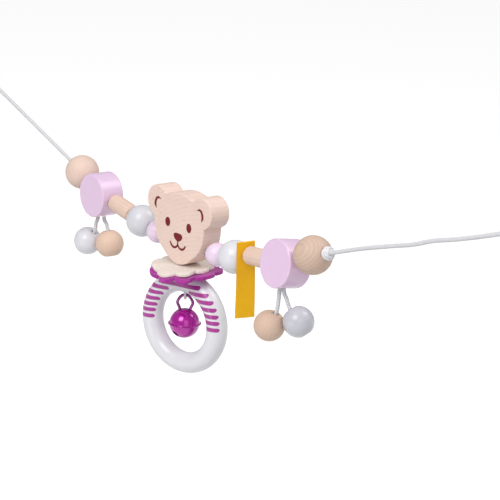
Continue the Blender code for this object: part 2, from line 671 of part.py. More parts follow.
# Label: a ribbon folded over at the top, pierced by the cord.
white_face = math.sqrt((WHITE_BALL_D / 2) ** 2 - (END_FLAT_D / 2) ** 2)
white_edge = station(1, "white").x + white_face
label_x = (white_edge + station(1, "dowel").x) / 2
label_cord = HEAD_AT + Vector((label_x, 0, route_z(label_x)))
half = LABEL_THICK / 2
label_turn = math.radians(LABEL_YAW)
label_frame = frame(label_cord, (math.cos(label_turn), -math.sin(label_turn), 0), (0, 0, 1))
section = [(-half, -LABEL_BELOW), (-half, LABEL_ABOVE - half)]
for i in range(1, 6):
    angle = math.pi - math.pi * i / 6
    section.append((half * math.cos(angle), LABEL_ABOVE - half + half * math.sin(angle)))
section += [(half, LABEL_ABOVE - half), (half, -LABEL_BELOW), (half - RIBBON, -LABEL_BELOW),
            (half - RIBBON, LABEL_ABOVE - half)]
inner = half - RIBBON
for i in range(1, 4):
    angle = math.pi * i / 4
    section.append((inner * math.cos(angle), LABEL_ABOVE - half + inner * math.sin(angle)))
section += [(-half + RIBBON, LABEL_ABOVE - half), (-half + RIBBON, -LABEL_BELOW)]
bm = bmesh.new()
near_edge = LABEL_SHIFT - LABEL_WIDTH / 2
ring = [bm.verts.new((x * MM, near_edge * MM, z * MM)) for x, z in section]
face = bm.faces.new(ring)
pushed = bmesh.ops.extrude_face_region(bm, geom=[face])
moved = [item for item in pushed["geom"] if isinstance(item, bmesh.types.BMVert)]
bmesh.ops.translate(bm, verts=moved, vec=(0, LABEL_WIDTH * MM, 0))
yellow = principled("label ribbon yellow", (0.90, 0.40, 0.01), 0.6)
label = put("label", mesh_from("label", bm), label_frame, yellow)
pierce = rod_tool("label_hole", CORD + 4 * GAP, -lane_dir * 3, lane_dir * 3,
                  label_frame, yellow, 14)
cut(label, pierce)


# Head: the outline is the ears' circles and the cheeks' curve, whichever is further out.
def outline_radius(angle):
    """Radius of the outline at an angle in degrees, for the right-hand half."""
    stations = OUTLINE
    k = max(i for i in range(len(stations) - 1) if stations[i][0] <= angle + 1e-9)
    a0, r0 = stations[k]
    a1, r1 = stations[k + 1]
    before = stations[k - 1] if k > 0 else (2 * a0 - a1, r1)
    after = stations[k + 2] if k + 2 < len(stations) else (2 * a1 - a0, r0)
    t = (angle - a0) / (a1 - a0)
    m0 = (r1 - before[1]) / (a1 - before[0]) * (a1 - a0)
    m1 = (after[1] - r0) / (after[0] - a0) * (a1 - a0)
    radius = (r0 * (2 * t ** 3 - 3 * t ** 2 + 1) + m0 * (t ** 3 - 2 * t ** 2 + t)
              + r1 * (3 * t ** 2 - 2 * t ** 3) + m1 * (t ** 3 - t ** 2))
    along = Vector((math.cos(math.radians(angle)), math.sin(math.radians(angle))))
    ear = Vector((EAR_X, EAR_Z - OUTLINE_CENTRE_Z))
    across = ear.length_squared - ear.dot(along) ** 2
    if across < EAR_R ** 2 and ear.dot(along) > 0:
        radius = max(radius, ear.dot(along) + math.sqrt(EAR_R ** 2 - across))
    return radius


def head_outline(inset):
    right = []
    for i in range(OUTLINE_STEPS + 1):
        angle = -90 + 180 * i / OUTLINE_STEPS
        radius = outline_radius(angle) - inset
        right.append((radius * math.cos(math.radians(angle)),
                      OUTLINE_CENTRE_Z + radius * math.sin(math.radians(angle))))
    left = [(-x, z) for x, z in reversed(right[1:-1])]
    return right + left


head_frame = frame(HEAD_AT, (math.cos(math.radians(HEAD_YAW)), math.sin(math.radians(HEAD_YAW)),
                             0), (0, 0, 1))
half = HEAD_THICK / 2
layers = []
for i in range(3):
    angle = math.pi / 2 * i / 2
    layers.append((-half + HEAD_ROUND * (1 - math.sin(angle)), HEAD_ROUND * (1 - math.cos(angle))))
layers.reverse()
layers += [(-y, inset) for y, inset in reversed(layers)]
bm = bmesh.new()
rings = []
for y, inset in layers:
    rings.append([bm.verts.new((x * MM, y * MM, z * MM)) for x, z in head_outline(inset)])
count = len(rings[0])
for near, far in zip(rings, rings[1:]):
    for i in range(count):
        j = (i + 1) % count
        bm.faces.new((near[i], near[j], far[j], far[i]))
bm.faces.new(rings[0])
bm.faces.new(rings[-1])
bmesh.ops.triangulate(bm, faces=[face for face in bm.faces if len(face.verts) > 4])
beech = principled("head beech", WOOD, 0.6)
head = put("head", mesh_from("head", bm), head_frame, beech)
cut(head, rod_tool("head_bore", HEAD_BORE, (-EAR_X - EAR_R, 0, 0), (EAR_X + EAR_R, 0, 0),
                   head_frame, beech, 16))
cut(head, rod_tool("head_chamber", HANGER_CHAMBER_D, (0, 0, -26.0), (0, 0, HANGER_CHAMBER_TOP),
                   head_frame, beech, 18))

# Ring, hanging straight below the bore, and everything between it and the chin.
ring_middle = RING_MIDDLE_D / 2
tube = RING_TUBE_D / 2
chin = OUTLINE_CENTRE_Z - OUTLINE[0][1]
cream_top = chin - CHIN_GAP
magenta_top = cream_top - CREAM_THICK - COLLAR_GAP / 2
ring_top = magenta_top - MAGENTA_THICK - COLLAR_GAP
RING_CENTRE_DROP = ring_middle + tube - ring_top
ring_at = HEAD_AT + Vector((0, 0, -RING_CENTRE_DROP))
ring_turn = math.radians(RING_YAW)
ring_frame = frame(ring_at, (math.cos(ring_turn), math.sin(ring_turn), 0), (0, 0, 1))
bm = bmesh.new()
bound = []
for i in range(16):
    angle = math.tau * (i + 0.5) / 16
    bound.append(bm.verts.new(((ring_middle + tube * math.cos(angle)) * MM,
                               tube * math.sin(angle) * MM, 0)))
edges = [bm.edges.new((bound[i], bound[(i + 1) % 16])) for i in range(16)]
bmesh.ops.spin(bm, geom=bound + edges, cent=(0, 0, 0), axis=(0, 1, 0), angle=math.tau,
               steps=40, use_merge=True)
bmesh.ops.remove_doubles(bm, verts=bm.verts, dist=0.000002)
paint = principled("ring white", WHITE, 0.3)
ring = put("ring", mesh_from("ring", bm), ring_frame, paint)
inner_z = ring_middle - tube
cut(ring, rod_tool("ring_hole", RING_HOLE, (0, 0, inner_z - 2), (0, 0, ring_middle + tube + 2),
                   ring_frame, paint, 16))
cut(ring, rod_tool("ring_seat", RING_SEAT_D, (0, 0, inner_z - 2),
                   (0, 0, inner_z + RING_SEAT_DEPTH), ring_frame, paint, 18))

knot_mid = inner_z + RING_SEAT_DEPTH - GAP - RING_KNOT[1] / 2
mesh = turned("ring_knot", [(RING_KNOT[1] / 2, 0.0)]
              + barrel_profile(RING_KNOT[0], RING_KNOT[1], 0.8)[1:-1]
              + [(-RING_KNOT[1] / 2, 0.0)], 14)
knot_place = ring_frame @ frame(Vector((0, 0, knot_mid)), (0, 0, 1), (1, 0, 0))
put("ring_knot", mesh, knot_place, principled("ring knot white", CORD_WHITE, 0.85))

# Hanger cord: over the main cord inside the head, down through collars and ring.
over = CORD / 2 + 2 * GAP + HANGER_CORD / 2
knot_top = -RING_CENTRE_DROP + knot_mid + RING_KNOT[1] / 2 + GAP
hang = [(0, HANGER_SPREAD, knot_top), (0, HANGER_SPREAD, (knot_top - 8.0) / 2),
        (0, HANGER_SPREAD + 0.1, -7.0), (0, over * 0.92, -2.2), (0, over, 0),
        (0, 0.71 * over, 0.71 * over), (0, 0, over)]
hang = hang + [(x, -y, z) for x, y, z in reversed(hang[:-1])]
hang = [head_frame.to_3x3() @ Vector(point) for point in hang]
cord_curve("hanger_cord", smooth_points(hang, 2.6), HANGER_CORD, 2,
           principled("hanger cord white", CORD_WHITE, 0.85), at=HEAD_AT)


def collar(name, diameter, thick, lobes, phase, top, colour):
    """A scalloped disc with a hole in the middle."""
    bm = bmesh.new()
    steps = lobes * 8
    rows = []
    for z in (top, top - thick):
        rim = []
        hole = []
        for i in range(steps):
            angle = math.tau * i / steps
            bulge = abs(math.sin(lobes * (angle - math.radians(phase)) / 2)) ** 0.75
            radius = diameter / 2 - LOBE_DEPTH * (1 - bulge)
            rim.append(bm.verts.new((radius * math.cos(angle) * MM,
                                     radius * math.sin(angle) * MM, z * MM)))
        for i in range(24):
            angle = math.tau * i / 24
            hole.append(bm.verts.new((COLLAR_HOLE_D / 2 * math.cos(angle) * MM,
                                      COLLAR_HOLE_D / 2 * math.sin(angle) * MM, z * MM)))
        rows.append((rim, hole))
    for which in (0, 1):
        upper = rows[0][which]
        lower = rows[1][which]
        for i in range(len(upper)):
            j = (i + 1) % len(upper)
            bm.faces.new((upper[i], upper[j], lower[j], lower[i]))
    for rim, hole in rows:
        loops = []
        for points in (rim, hole):
            for i in range(len(points)):
                a = points[i]
                b = points[(i + 1) % len(points)]
                loops.append(bm.edges.get((a, b)) or bm.edges.new((a, b)))
        bmesh.ops.triangle_fill(bm, edges=loops, use_beauty=True)
    thing = put(name, mesh_from(name, bm), frame(HEAD_AT, (1, 0, 0), (0, 0, 1)),
                principled(name + " felt", colour, 0.9))
    return thing


collar("cream_collar", CREAM_D, CREAM_THICK, CREAM_LOBES, CREAM_PHASE, cream_top,
       (0.75, 0.65, 0.57))
collar("magenta_collar", MAGENTA_D, MAGENTA_THICK, MAGENTA_LOBES, MAGENTA_PHASE, magenta_top,
       (0.45, 0.03, 0.35))

# Bell cord loop, out of the knot in the ring and through the bell's wire loop.
bell_turn = math.radians(BELL_YAW)
bell_across = Vector((math.cos(bell_turn), math.sin(bell_turn), 0))
bell_face = Vector((math.sin(bell_turn), -math.cos(bell_turn), 0))
loop_top = -RING_CENTRE_DROP + knot_mid - RING_KNOT[1] / 2 - 2 * GAP
loop_low = -RING_CENTRE_DROP + inner_z - LOOP_DROP
loop_pivot = HEAD_AT + Vector((0, 0, -RING_CENTRE_DROP + inner_z))
depth = loop_low - (-RING_CENTRE_DROP + inner_z)
start = loop_top - (-RING_CENTRE_DROP + inner_z)
wide = 1.75
drape = [(0.95, start), (1.15, start - 0.8), (wide, depth * 0.5), (0.8 * wide, depth * 0.87), (0, depth)]
drape = [bell_face * x + Vector((0, 0, z)) for x, z in drape]
drape = drape + [Vector((-p.x, -p.y, p.z)) for p in reversed(drape[:-1])]
cord_curve("bell_cord_loop", smooth_points(drape, 1.5), LOOP_CORD, 2,
           principled("bell loop cord white", CORD_WHITE, 0.85), at=loop_pivot)

# Bell: wire loop, two shells with a pointed seam, a slot with round ends and a pellet.
bell_radius = BELL_D / 2
bell_at = ring_at + Vector((0, 0, -BELL_DROP))
hang_point = HEAD_AT + Vector((0, 0, loop_low))
wire_top = (hang_point.z + LOOP_CORD / 2 + 2 * GAP + LOOP_WIRE / 2) - bell_at.z
foot_z = math.sqrt((bell_radius - BELL_WALL) ** 2 - LOOP_FOOT ** 2) + BELL_WALL * 0.3
rise_z = wire_top - bell_radius
wire = [(LOOP_FOOT * 0.94, foot_z), (LOOP_FOOT, foot_z + 1.2),
        (LOOP_WIDEST, bell_radius + rise_z * 0.46),
        (LOOP_WIDEST * 0.86, bell_radius + rise_z * 0.64),
        (LOOP_WIDEST * 0.34, wire_top - 0.5), (0, wire_top)]
wire = [bell_across * x + Vector((0, 0, z)) for x, z in wire]
wire = wire + [Vector((-p.x, -p.y, p.z)) for p in reversed(wire[:-1])]
wire = [point + bell_at - hang_point for point in smooth_points(wire, 1.7)]
cord_curve("bell_wire_loop", wire, LOOP_WIRE, 2,
           principled("bell wire magenta", MAGENTA, 0.25, 0.9), at=hang_point)


def shell_profile():
    """Half of the bell, from its pole to the seam and back inside."""
    flange = bell_radius + FLANGE_WIDTH
    seam = math.asin(0.9 / bell_radius)
    points = []
    for i in range(8):
        angle = math.pi / 2 - (math.pi / 2 - seam) * i / 7
        points.append((bell_radius * math.sin(angle), bell_radius * math.cos(angle)))
    points.append((GAP / 2 + FLANGE_EDGE, flange - 0.25))
    points.append((GAP / 2, flange))
    inside = bell_radius - BELL_WALL
    low = math.asin(GAP / 2 / inside)
    for i in range(7):
        angle = low + (math.pi / 2 - low) * i / 6
        points.append((inside * math.sin(angle), inside * math.cos(angle)))
    points[0] = (bell_radius, 0.0)
    points[-1] = (inside, 0.0)
    return points


for word, upward in (("upper", 1), ("lower", -1)):
    shiny = principled("bell " + word + " magenta", MAGENTA, 0.2, 0.9)
    mesh = turned("bell_" + word + "_shell", shell_profile(), 24)
    stand = frame(bell_at, (0, 0, upward), bell_across)
    shell = put("bell_" + word + "_shell", mesh, stand, shiny)
    shell.data.transform(Matrix.Translation(hang_point * MM).inverted() @ stand)
    shell.matrix_world = Matrix.Translation(hang_point * MM)
    if upward > 0:
        for hand in (-1, 1):
            foot = bell_across * hand * LOOP_FOOT
            cut(shell, rod_tool("bell_foot_hole_" + ("a" if hand < 0 else "b"),
                                LOOP_WIRE + 3 * GAP, foot + Vector((0, 0, foot_z - 3.0)),
                                foot + Vector((0, 0, bell_radius + 2)),
                                Matrix.Translation(bell_at * MM), shiny, 12))
    else:
        slot_turn = math.radians(SLOT_TURN)
        slot_dir = bell_across * math.cos(slot_turn) + bell_face * math.sin(slot_turn)
        bm = bmesh.new()
        bmesh.ops.create_cube(bm, size=1.0)
        bmesh.ops.scale(bm, vec=(2 * SLOT_REACH * MM, SLOT_WIDTH * MM, 6.0 * MM), verts=bm.verts)
        slot = put("bell_slot", mesh_from("bell_slot", bm),
                   frame(bell_at + Vector((0, 0, -bell_radius)), slot_dir, (0, 0, 1)), shiny)
        cut(shell, slot)
        for hand in (-1, 1):
            down = math.radians(SLOT_HOLE_DOWN)
            aim = slot_dir * hand * math.cos(down) + Vector((0, 0, -math.sin(down)))
            cut(shell, rod_tool("bell_slot_end_" + ("a" if hand < 0 else "b"), SLOT_HOLE_D,
                                aim * (bell_radius - 4), aim * (bell_radius + 3),
                                Matrix.Translation(bell_at * MM), shiny, 14))

pellet_radius = PELLET_D / 2
profile = [(pellet_radius, 0.0)]
for i in range(1, 8):
    angle = math.pi * i / 8
    profile.append((pellet_radius * math.cos(angle), pellet_radius * math.sin(angle)))
profile.append((-pellet_radius, 0.0))
pellet_at = bell_at + Vector((0, 0, -(bell_radius - BELL_WALL - GAP - pellet_radius)))
pellet_mesh = turned("bell_pellet", profile, 12)
pellet_mesh.transform(Matrix.Translation((pellet_at - bell_at) * MM))
put("bell_pellet", pellet_mesh, Matrix.Translation(bell_at * MM),
    principled("pellet steel", (0.5, 0.5, 0.52), 0.35, 1.0))

print("head bore at", [round(v, 3) for v in HEAD_AT])
print("ring centre at", [round(v, 3) for v in ring_at])
print("bell centre at", [round(v, 3) for v in bell_at])
print("dowel length", round(dowel_length, 2))
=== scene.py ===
# %% [markdown]
# # Pram chain
# A pram chain is strung across a pram so that a baby can reach its beads. A sawn
# wooden head sits in the middle of a cord. A ring with a jingle bell hangs below it
# under two felt collars, and turned beads follow on both sides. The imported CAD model
# gives every place and size. The cells below put the finish on it: turned wood,
# lacquer, braided cord, felt, ribbon, print and plated metal.

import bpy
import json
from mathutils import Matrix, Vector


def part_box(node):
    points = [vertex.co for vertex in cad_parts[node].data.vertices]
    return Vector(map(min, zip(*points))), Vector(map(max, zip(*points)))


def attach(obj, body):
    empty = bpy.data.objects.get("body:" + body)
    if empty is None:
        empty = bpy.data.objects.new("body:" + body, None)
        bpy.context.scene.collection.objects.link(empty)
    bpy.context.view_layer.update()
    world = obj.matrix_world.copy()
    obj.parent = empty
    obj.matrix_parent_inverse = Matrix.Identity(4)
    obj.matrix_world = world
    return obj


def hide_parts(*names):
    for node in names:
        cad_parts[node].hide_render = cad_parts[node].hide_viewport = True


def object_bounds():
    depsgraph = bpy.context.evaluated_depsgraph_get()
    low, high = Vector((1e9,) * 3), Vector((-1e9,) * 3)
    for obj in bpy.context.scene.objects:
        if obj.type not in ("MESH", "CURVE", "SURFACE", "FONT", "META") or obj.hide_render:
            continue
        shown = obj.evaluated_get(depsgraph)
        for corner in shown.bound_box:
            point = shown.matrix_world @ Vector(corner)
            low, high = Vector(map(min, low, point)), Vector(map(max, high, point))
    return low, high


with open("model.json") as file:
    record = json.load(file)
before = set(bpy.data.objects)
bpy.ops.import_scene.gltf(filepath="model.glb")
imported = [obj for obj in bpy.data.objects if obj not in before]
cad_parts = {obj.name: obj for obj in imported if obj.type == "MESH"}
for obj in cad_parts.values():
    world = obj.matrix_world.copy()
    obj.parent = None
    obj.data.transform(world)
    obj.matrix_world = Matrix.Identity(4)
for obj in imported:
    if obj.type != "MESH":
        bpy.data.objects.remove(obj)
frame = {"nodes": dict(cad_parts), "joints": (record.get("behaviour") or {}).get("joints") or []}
cad_box = [list(corner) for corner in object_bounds()]
print("CAD box", cad_box)

# %% Modules and units
import json
import math

import bmesh
import bpy
import numpy as np
from mathutils import Matrix, Vector

MM = 0.001
UP = Vector((0, 0, 1))
SIDES = ((-1, "left"), (1, "right"))

# %% [markdown]
# ## Places from the model's own joints
# Each bead turns on the cord, so each has a joint whose place is the bead's middle and
# whose axis is its bore. Those joints are read here, and the node boxes give the rest.
# Nothing has to be fitted by eye, and a change of the model moves the finish with it.

# %% Read joints and boxes
joints = {joint["name"]: joint for joint in frame["joints"]}


def place_of(joint):
    return Vector(joints[joint]["pos_m"])


def axis_of(joint):
    return Vector(joints[joint]["axis"]).normalized()


def middle(node):
    low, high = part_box(node)
    return (low + high) / 2


head_bore = place_of("head_swing")

# %% [markdown]
# ## Camera
# The photograph was taken from the right and a little above, with a long lens, and the
# camera leaned by two degrees. An azimuth, an elevation, a roll and a lens say all of
# that, so the camera is built from those four numbers and a point that it looks at.

# %% Set up the camera
CAMERA_AZIMUTH = 52.06
CAMERA_ELEVATION = 14.822
CAMERA_ROLL = math.radians(2.189)
CAMERA_DISTANCE = 1.0
LENS_MM = 125.783
LOOK_AT = head_bore + Vector((0.0619, 0.0, 0.0116))


def toward(azimuth, elevation):
    """The way to an azimuth, in degrees from the front, and an elevation."""
    a = math.radians(azimuth)
    e = math.radians(elevation)
    return Vector((math.sin(a) * math.cos(e), -math.cos(a) * math.cos(e), math.sin(e)))


def put(name, data, matrix=Matrix.Identity(4)):
    """A new object in the scene, at a placing matrix."""
    item = bpy.data.objects.new(name, data)
    bpy.context.collection.objects.link(item)
    item.matrix_world = matrix
    return item


back = toward(CAMERA_AZIMUTH, CAMERA_ELEVATION)
level_right = toward(CAMERA_AZIMUTH + 90, 0)
level_up = back.cross(level_right)
right = level_right * math.cos(CAMERA_ROLL) + level_up * math.sin(CAMERA_ROLL)
lens = bpy.data.cameras.new("photographer")
lens.sensor_width = 36
lens.lens = LENS_MM
camera = put("photographer", lens,
             Matrix((right, back.cross(right), back)).transposed().to_4x4())
camera.location = LOOK_AT + back * CAMERA_DISTANCE
bpy.context.scene.camera = camera
print("camera at", [round(v, 4) for v in camera.location])

# %% [markdown]
# ## Node helpers
# A finish is a small chain of shader nodes. These helpers keep each recipe readable: a
# finish is a material with its Principled shader, and each method adds a node and gives
# its output. Everything is procedural, so nothing depends on an image file.

# %% Material helpers
def add(tree, kind, inputs=(), **settings):
    """One shader node. Inputs are pairs of a socket and a value or another socket."""
    item = tree.nodes.new("ShaderNode" + kind)
    for key, value in settings.items():
        setattr(item, key, value)
    for key, value in dict(inputs).items():
        if isinstance(value, bpy.types.NodeSocket):
            tree.links.new(value, item.inputs[key])
        else:
            item.inputs[key].default_value = value
    return item


class Finish:
    """A material with a Principled shader, and short ways to feed it."""

    def __init__(self, name, roughness, **constants):
        self.material = bpy.data.materials.new(name)
        self.material.use_nodes = True
        self.tree = self.material.node_tree
        self.shader = self.tree.nodes["Principled BSDF"]
        self.set(Roughness=roughness, **constants)

    def set(self, **values):
        """Gives the shader's inputs values, or links them to sockets."""
        for key, value in values.items():
            socket = self.shader.inputs[key.replace("_", " ")]
            if isinstance(value, bpy.types.NodeSocket):
                self.tree.links.new(value, socket)
            else:
                socket.default_value = value

    def own(self, scale=(1, 1, 1), offset=(0, 0, 0), turn=(0, 0, 0)):
        """The piece's own coordinates, stretched, moved and turned."""
        here = add(self.tree, "TexCoord").outputs["Object"]
        return add(self.tree, "Mapping", {"Vector": here, "Location": offset, "Rotation": turn,
                                          "Scale": scale}).outputs["Vector"]

    def noise(self, scale, detail, where=None, distortion=0.0):
        """A noise from 0 to 1, in the piece's own coordinates if no others are given."""
        where = self.own() if where is None else where
        return add(self.tree, "TexNoise", {"Vector": where, "Scale": scale, "Detail": detail,
                                           "Distortion": distortion}).outputs["Fac"]

    def waves(self, gap, where, detail, distortion, detail_scale=1.0, **settings):
        """Even waves from 0 to 1, with a gap in mm between their crests."""
        return add(self.tree, "TexWave", {"Vector": where, "Scale": math.tau / 20 / (gap * MM),
                                          "Distortion": distortion, "Detail": detail,
                                          "Detail Scale": detail_scale},
                   **settings).outputs["Fac"]

    def calc(self, operation, *values):
        return add(self.tree, "Math", dict(enumerate(values)), operation=operation).outputs[0]

    def spread(self, value, low, high, least=0.0, most=1.0):
        """Stretches the range from low to high to the range from least to most."""
        return add(self.tree, "MapRange", {"Value": value, "From Min": low, "From Max": high,
                                           "To Min": least, "To Max": most}).outputs["Result"]

    def blend(self, share, low, high):
        """A colour between two colours, by a share from 0 to 1."""
        ramp = add(self.tree, "ValToRGB", {"Fac": share})
        for stop, colour in zip(ramp.color_ramp.elements, (low, high)):
            stop.color = (*colour, 1)
        return ramp.outputs["Color"]

    def bump(self, height, distance, strength):
        raised = add(self.tree, "Bump", {"Height": height, "Distance": distance,
                                         "Strength": strength})
        self.set(Normal=raised.outputs["Normal"])


def shades(colour, low, high, most=1.0):
    """A darker and a lighter version of a colour."""
    return tuple(c * low for c in colour), tuple(min(c * high, most) for c in colour)


# %% [markdown]
# ## Floor and backdrop
# The chain is shown against plain white. One large floor below it does for both, since
# the camera looks down on it. To the camera, and in reflections, the floor adds a
# little of its own white, so it reads as white paper and still takes a soft shadow.

# %% Lay the floor
FLOOR_DROP = 0.16
FLOOR_HALF = 9.0
PAPER = (0.6, 0.6, 0.6, 1)
PAPER_GLOW = 0.72

paper = Finish("white paper", 0.9, Specular_IOR_Level=0.0, Base_Color=PAPER)
path = add(paper.tree, "LightPath").outputs
seen = paper.calc("MAXIMUM", path["Is Camera Ray"], path["Is Glossy Ray"])
seen = paper.calc("MAXIMUM", seen, path["Is Transmission Ray"])
glow = add(paper.tree, "Emission", {"Color": (1, 1, 1, 1),
                                    "Strength": paper.calc("MULTIPLY", seen, PAPER_GLOW)})
both = add(paper.tree, "AddShader", {0: paper.shader.outputs[0], 1: glow.outputs[0]})
paper.tree.links.new(both.outputs[0], paper.tree.nodes["Material Output"].inputs["Surface"])

floor_z = cad_box[0][2] - FLOOR_DROP
floor_mesh = bpy.data.meshes.new("floor")
floor_mesh.from_pydata([(x * FLOOR_HALF, y * FLOOR_HALF, floor_z) for x, y in
                        ((-1, -1), (1, -1), (1, 1), (-1, 1))], [], [(0, 1, 2, 3)])
floor_mesh.materials.append(paper.material)
put("floor", floor_mesh)
print("floor at", round(floor_z, 4))

# %% [markdown]
# ## Light
# Toys are shot in a white room with a large soft box near the camera and weaker ones
# round it. The world gives the room, and six area lamps give the boxes. They are kept
# at a plain level, so a surface renders about as light as its colour is written.

# %% Light the studio
ROOM_LEVEL = 0.37


def soft_box(name, azimuth, elevation, distance, width, height, watts):
    """A rectangular area lamp that faces the head."""
    lamp = bpy.data.lights.new(name, "AREA")
    lamp.shape = "RECTANGLE"
    lamp.size = width
    lamp.size_y = height
    lamp.energy = watts
    box = put(name, lamp)
    way = toward(azimuth, elevation)
    box.location = head_bore + way * distance
    box.rotation_euler = way.to_track_quat("Z", "Y").to_euler()


soft_box("key box", 17, 42, 1.5, 0.8, 0.75, 13.0)
soft_box("fill box", 66, 18, 1.5, 0.9, 0.9, 3.0)
soft_box("low box", 5, -8, 1.0, 0.13, 0.11, 0.8)
soft_box("top box", 50, 80, 1.5, 0.8, 0.8, 2.0)
soft_box("back box", 146, 52, 1.5, 0.7, 0.7, 7.0)
soft_box("strip box", 160, 8, 1.5, 0.12, 0.9, 1.0)

world = bpy.data.worlds.new("white room")
bpy.context.scene.world = world
world.use_nodes = True
sky = world.node_tree.nodes["Background"]
sky.inputs["Color"].default_value = (1, 1, 1, 1)
path = add(world.node_tree, "LightPath").outputs
seen = add(world.node_tree, "Math", {0: path["Is Camera Ray"], 1: path["Is Transmission Ray"]},
           operation="MAXIMUM")
level = add(world.node_tree, "MapRange", {"Value": seen.outputs[0], "To Min": ROOM_LEVEL})
world.node_tree.links.new(level.outputs["Result"], sky.inputs["Strength"])
bpy.context.scene.view_settings.view_transform = "Standard"
print("room level", ROOM_LEVEL)

# %% [markdown]
# ## Shape helpers
# Almost every piece is a turning, a tube or a thin film. A placing matrix, a lathe, a
# swept tube and a smooth curve through chosen points therefore make the whole object.

# %% Place and finish a piece
def stand(origin, x_axis, z_axis):
    """A placing matrix from an origin, an X direction and a rough Z direction."""
    x = Vector(x_axis).normalized()
    y = Vector(z_axis).cross(x).normalized()
    matrix = Matrix((x, y, x.cross(y))).transposed().to_4x4()
    matrix.translation = Vector(origin)
    return matrix


def mount(name, mesh, matrix, finish, body, slot, *nodes):
    """Makes the piece, lets it ride on its body, and hides the CAD nodes it stands for."""
    piece = put(name, mesh, matrix)
    mesh.materials.append(finish.material)
    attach(piece, body)
    if nodes:
        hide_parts(*nodes)
    return piece


def smoothed(mesh, degrees=38):
    for polygon in mesh.polygons:
        polygon.use_smooth = True
    mesh.set_sharp_from_angle(angle=math.radians(degrees))
    return mesh


# %% Build meshes from rings of points
def join_rings(bm, rings, closed=False):
    """Faces between rings of vertices. A ring on the axis repeats one vertex."""
    for near, far in zip(rings, rings[1:] + rings[:1] if closed else rings[1:]):
        for k in range(len(near)):
            j = (k + 1) % len(near)
            corners = list(dict.fromkeys((near[k], near[j], far[j], far[k])))
            if len(corners) > 2:
                bm.faces.new(corners)


def slab(bm, rows):
    """A closed film. Each row gives the points of its front and those of its back."""
    rings = [[bm.verts.new(point) for point in front + back[::-1]] for front, back in rows]
    join_rings(bm, rings)
    for end in (rings[0], rings[-1]):
        for k in range(len(end) // 2 - 1):
            bm.faces.new((end[k], end[-1 - k], end[-2 - k], end[k + 1]))


def mesh_from(bm, name, degrees=38):
    """A mesh with its faces turned outwards, smoothed up to an angle, if one is given."""
    bmesh.ops.recalc_face_normals(bm, faces=bm.faces)
    mesh = bpy.data.meshes.new(name)
    bm.to_mesh(mesh)
    bm.free()
    return smoothed(mesh, degrees) if degrees else mesh


def tube_faces(rows, sides, closed):
    """Quads between rings of points that are numbered ring by ring."""
    faces = []
    for i in range(rows if closed else rows - 1):
        a = i * sides
        b = (i + 1) % rows * sides
        for k in range(sides):
            j = (k + 1) % sides
            faces.append((a + k, a + j, b + j, b + k))
    return faces


# %% Turn a profile on the lathe
def soft_corners(corners, closed):
    """Rounds the marked corners of a profile. A corner is (along, radius, rounding)."""
    points = []
    count = len(corners)
    for i, (x, r, rounding) in enumerate(corners):
        if not rounding or not (closed or 0 < i < count - 1):
            points.append((x, r))
            continue
        here = Vector((x, r))
        before = Vector(corners[i - 1][:2]) - here
        after = Vector(corners[(i + 1) % count][:2]) - here
        reach = min(rounding, 0.45 * before.length, 0.45 * after.length)
        a = here + before.normalized() * reach
        b = here + after.normalized() * reach
        if before.length > 3 * reach:
            points.append(tuple(here + before.normalized() * reach * 1.5))
        for t in (0, 0.25, 0.5, 0.75, 1):
            points.append(tuple(a * (1 - t) ** 2 + here * 2 * t * (1 - t) + b * t ** 2))
        if after.length > 3 * reach:
            points.append(tuple(here + after.normalized() * reach * 1.5))
    return points


def lathe(name, corners, segments=72):
    """A turned mesh about X from a profile in mm, open at the axis or closed by a bore."""
    closed = corners[0][1] > 0
    turns = [math.tau * k / segments for k in range(segments)]
    bm = bmesh.new()
    rings = []
    for x, r in soft_corners(corners, closed):
        if r < 1e-6:
            rings.append([bm.verts.new((x * MM, 0, 0))] * segments)
        else:
            rings.append([bm.verts.new((x * MM, r * math.cos(t) * MM, r * math.sin(t) * MM))
                          for t in turns])
    join_rings(bm, rings, closed)
    return mesh_from(bm, name)


def arc_corners(radius, start, end, steps=34):
    """Points of a ball's profile between two angles from the bore's axis."""
    angles = [start + (end - start) * i / steps for i in range(steps + 1)]
    return [(radius * math.cos(angle), radius * math.sin(angle), 0) for angle in angles]


def mirrored(corners):
    """A half profile and its mirror image, from end to end."""
    return corners + [(-x, r, soft) for x, r, soft in reversed(corners)]


# %% Smooth curves
def hermite(t, p1, p2, m1, m2):
    """A cubic from p1 to p2 with the slopes m1 and m2."""
    return (p1 * (2 * t ** 3 - 3 * t ** 2 + 1) + m1 * (t ** 3 - 2 * t ** 2 + t)
            + p2 * (3 * t ** 2 - 2 * t ** 3) + m2 * (t ** 3 - t ** 2))


def along_of(points):
    """How far along the line each of its points lies."""
    spans = np.linalg.norm(np.diff(points, axis=0), axis=1)
    return np.concatenate(([0], np.cumsum(spans)))


def length_of(points):
    return float(along_of(points)[-1])


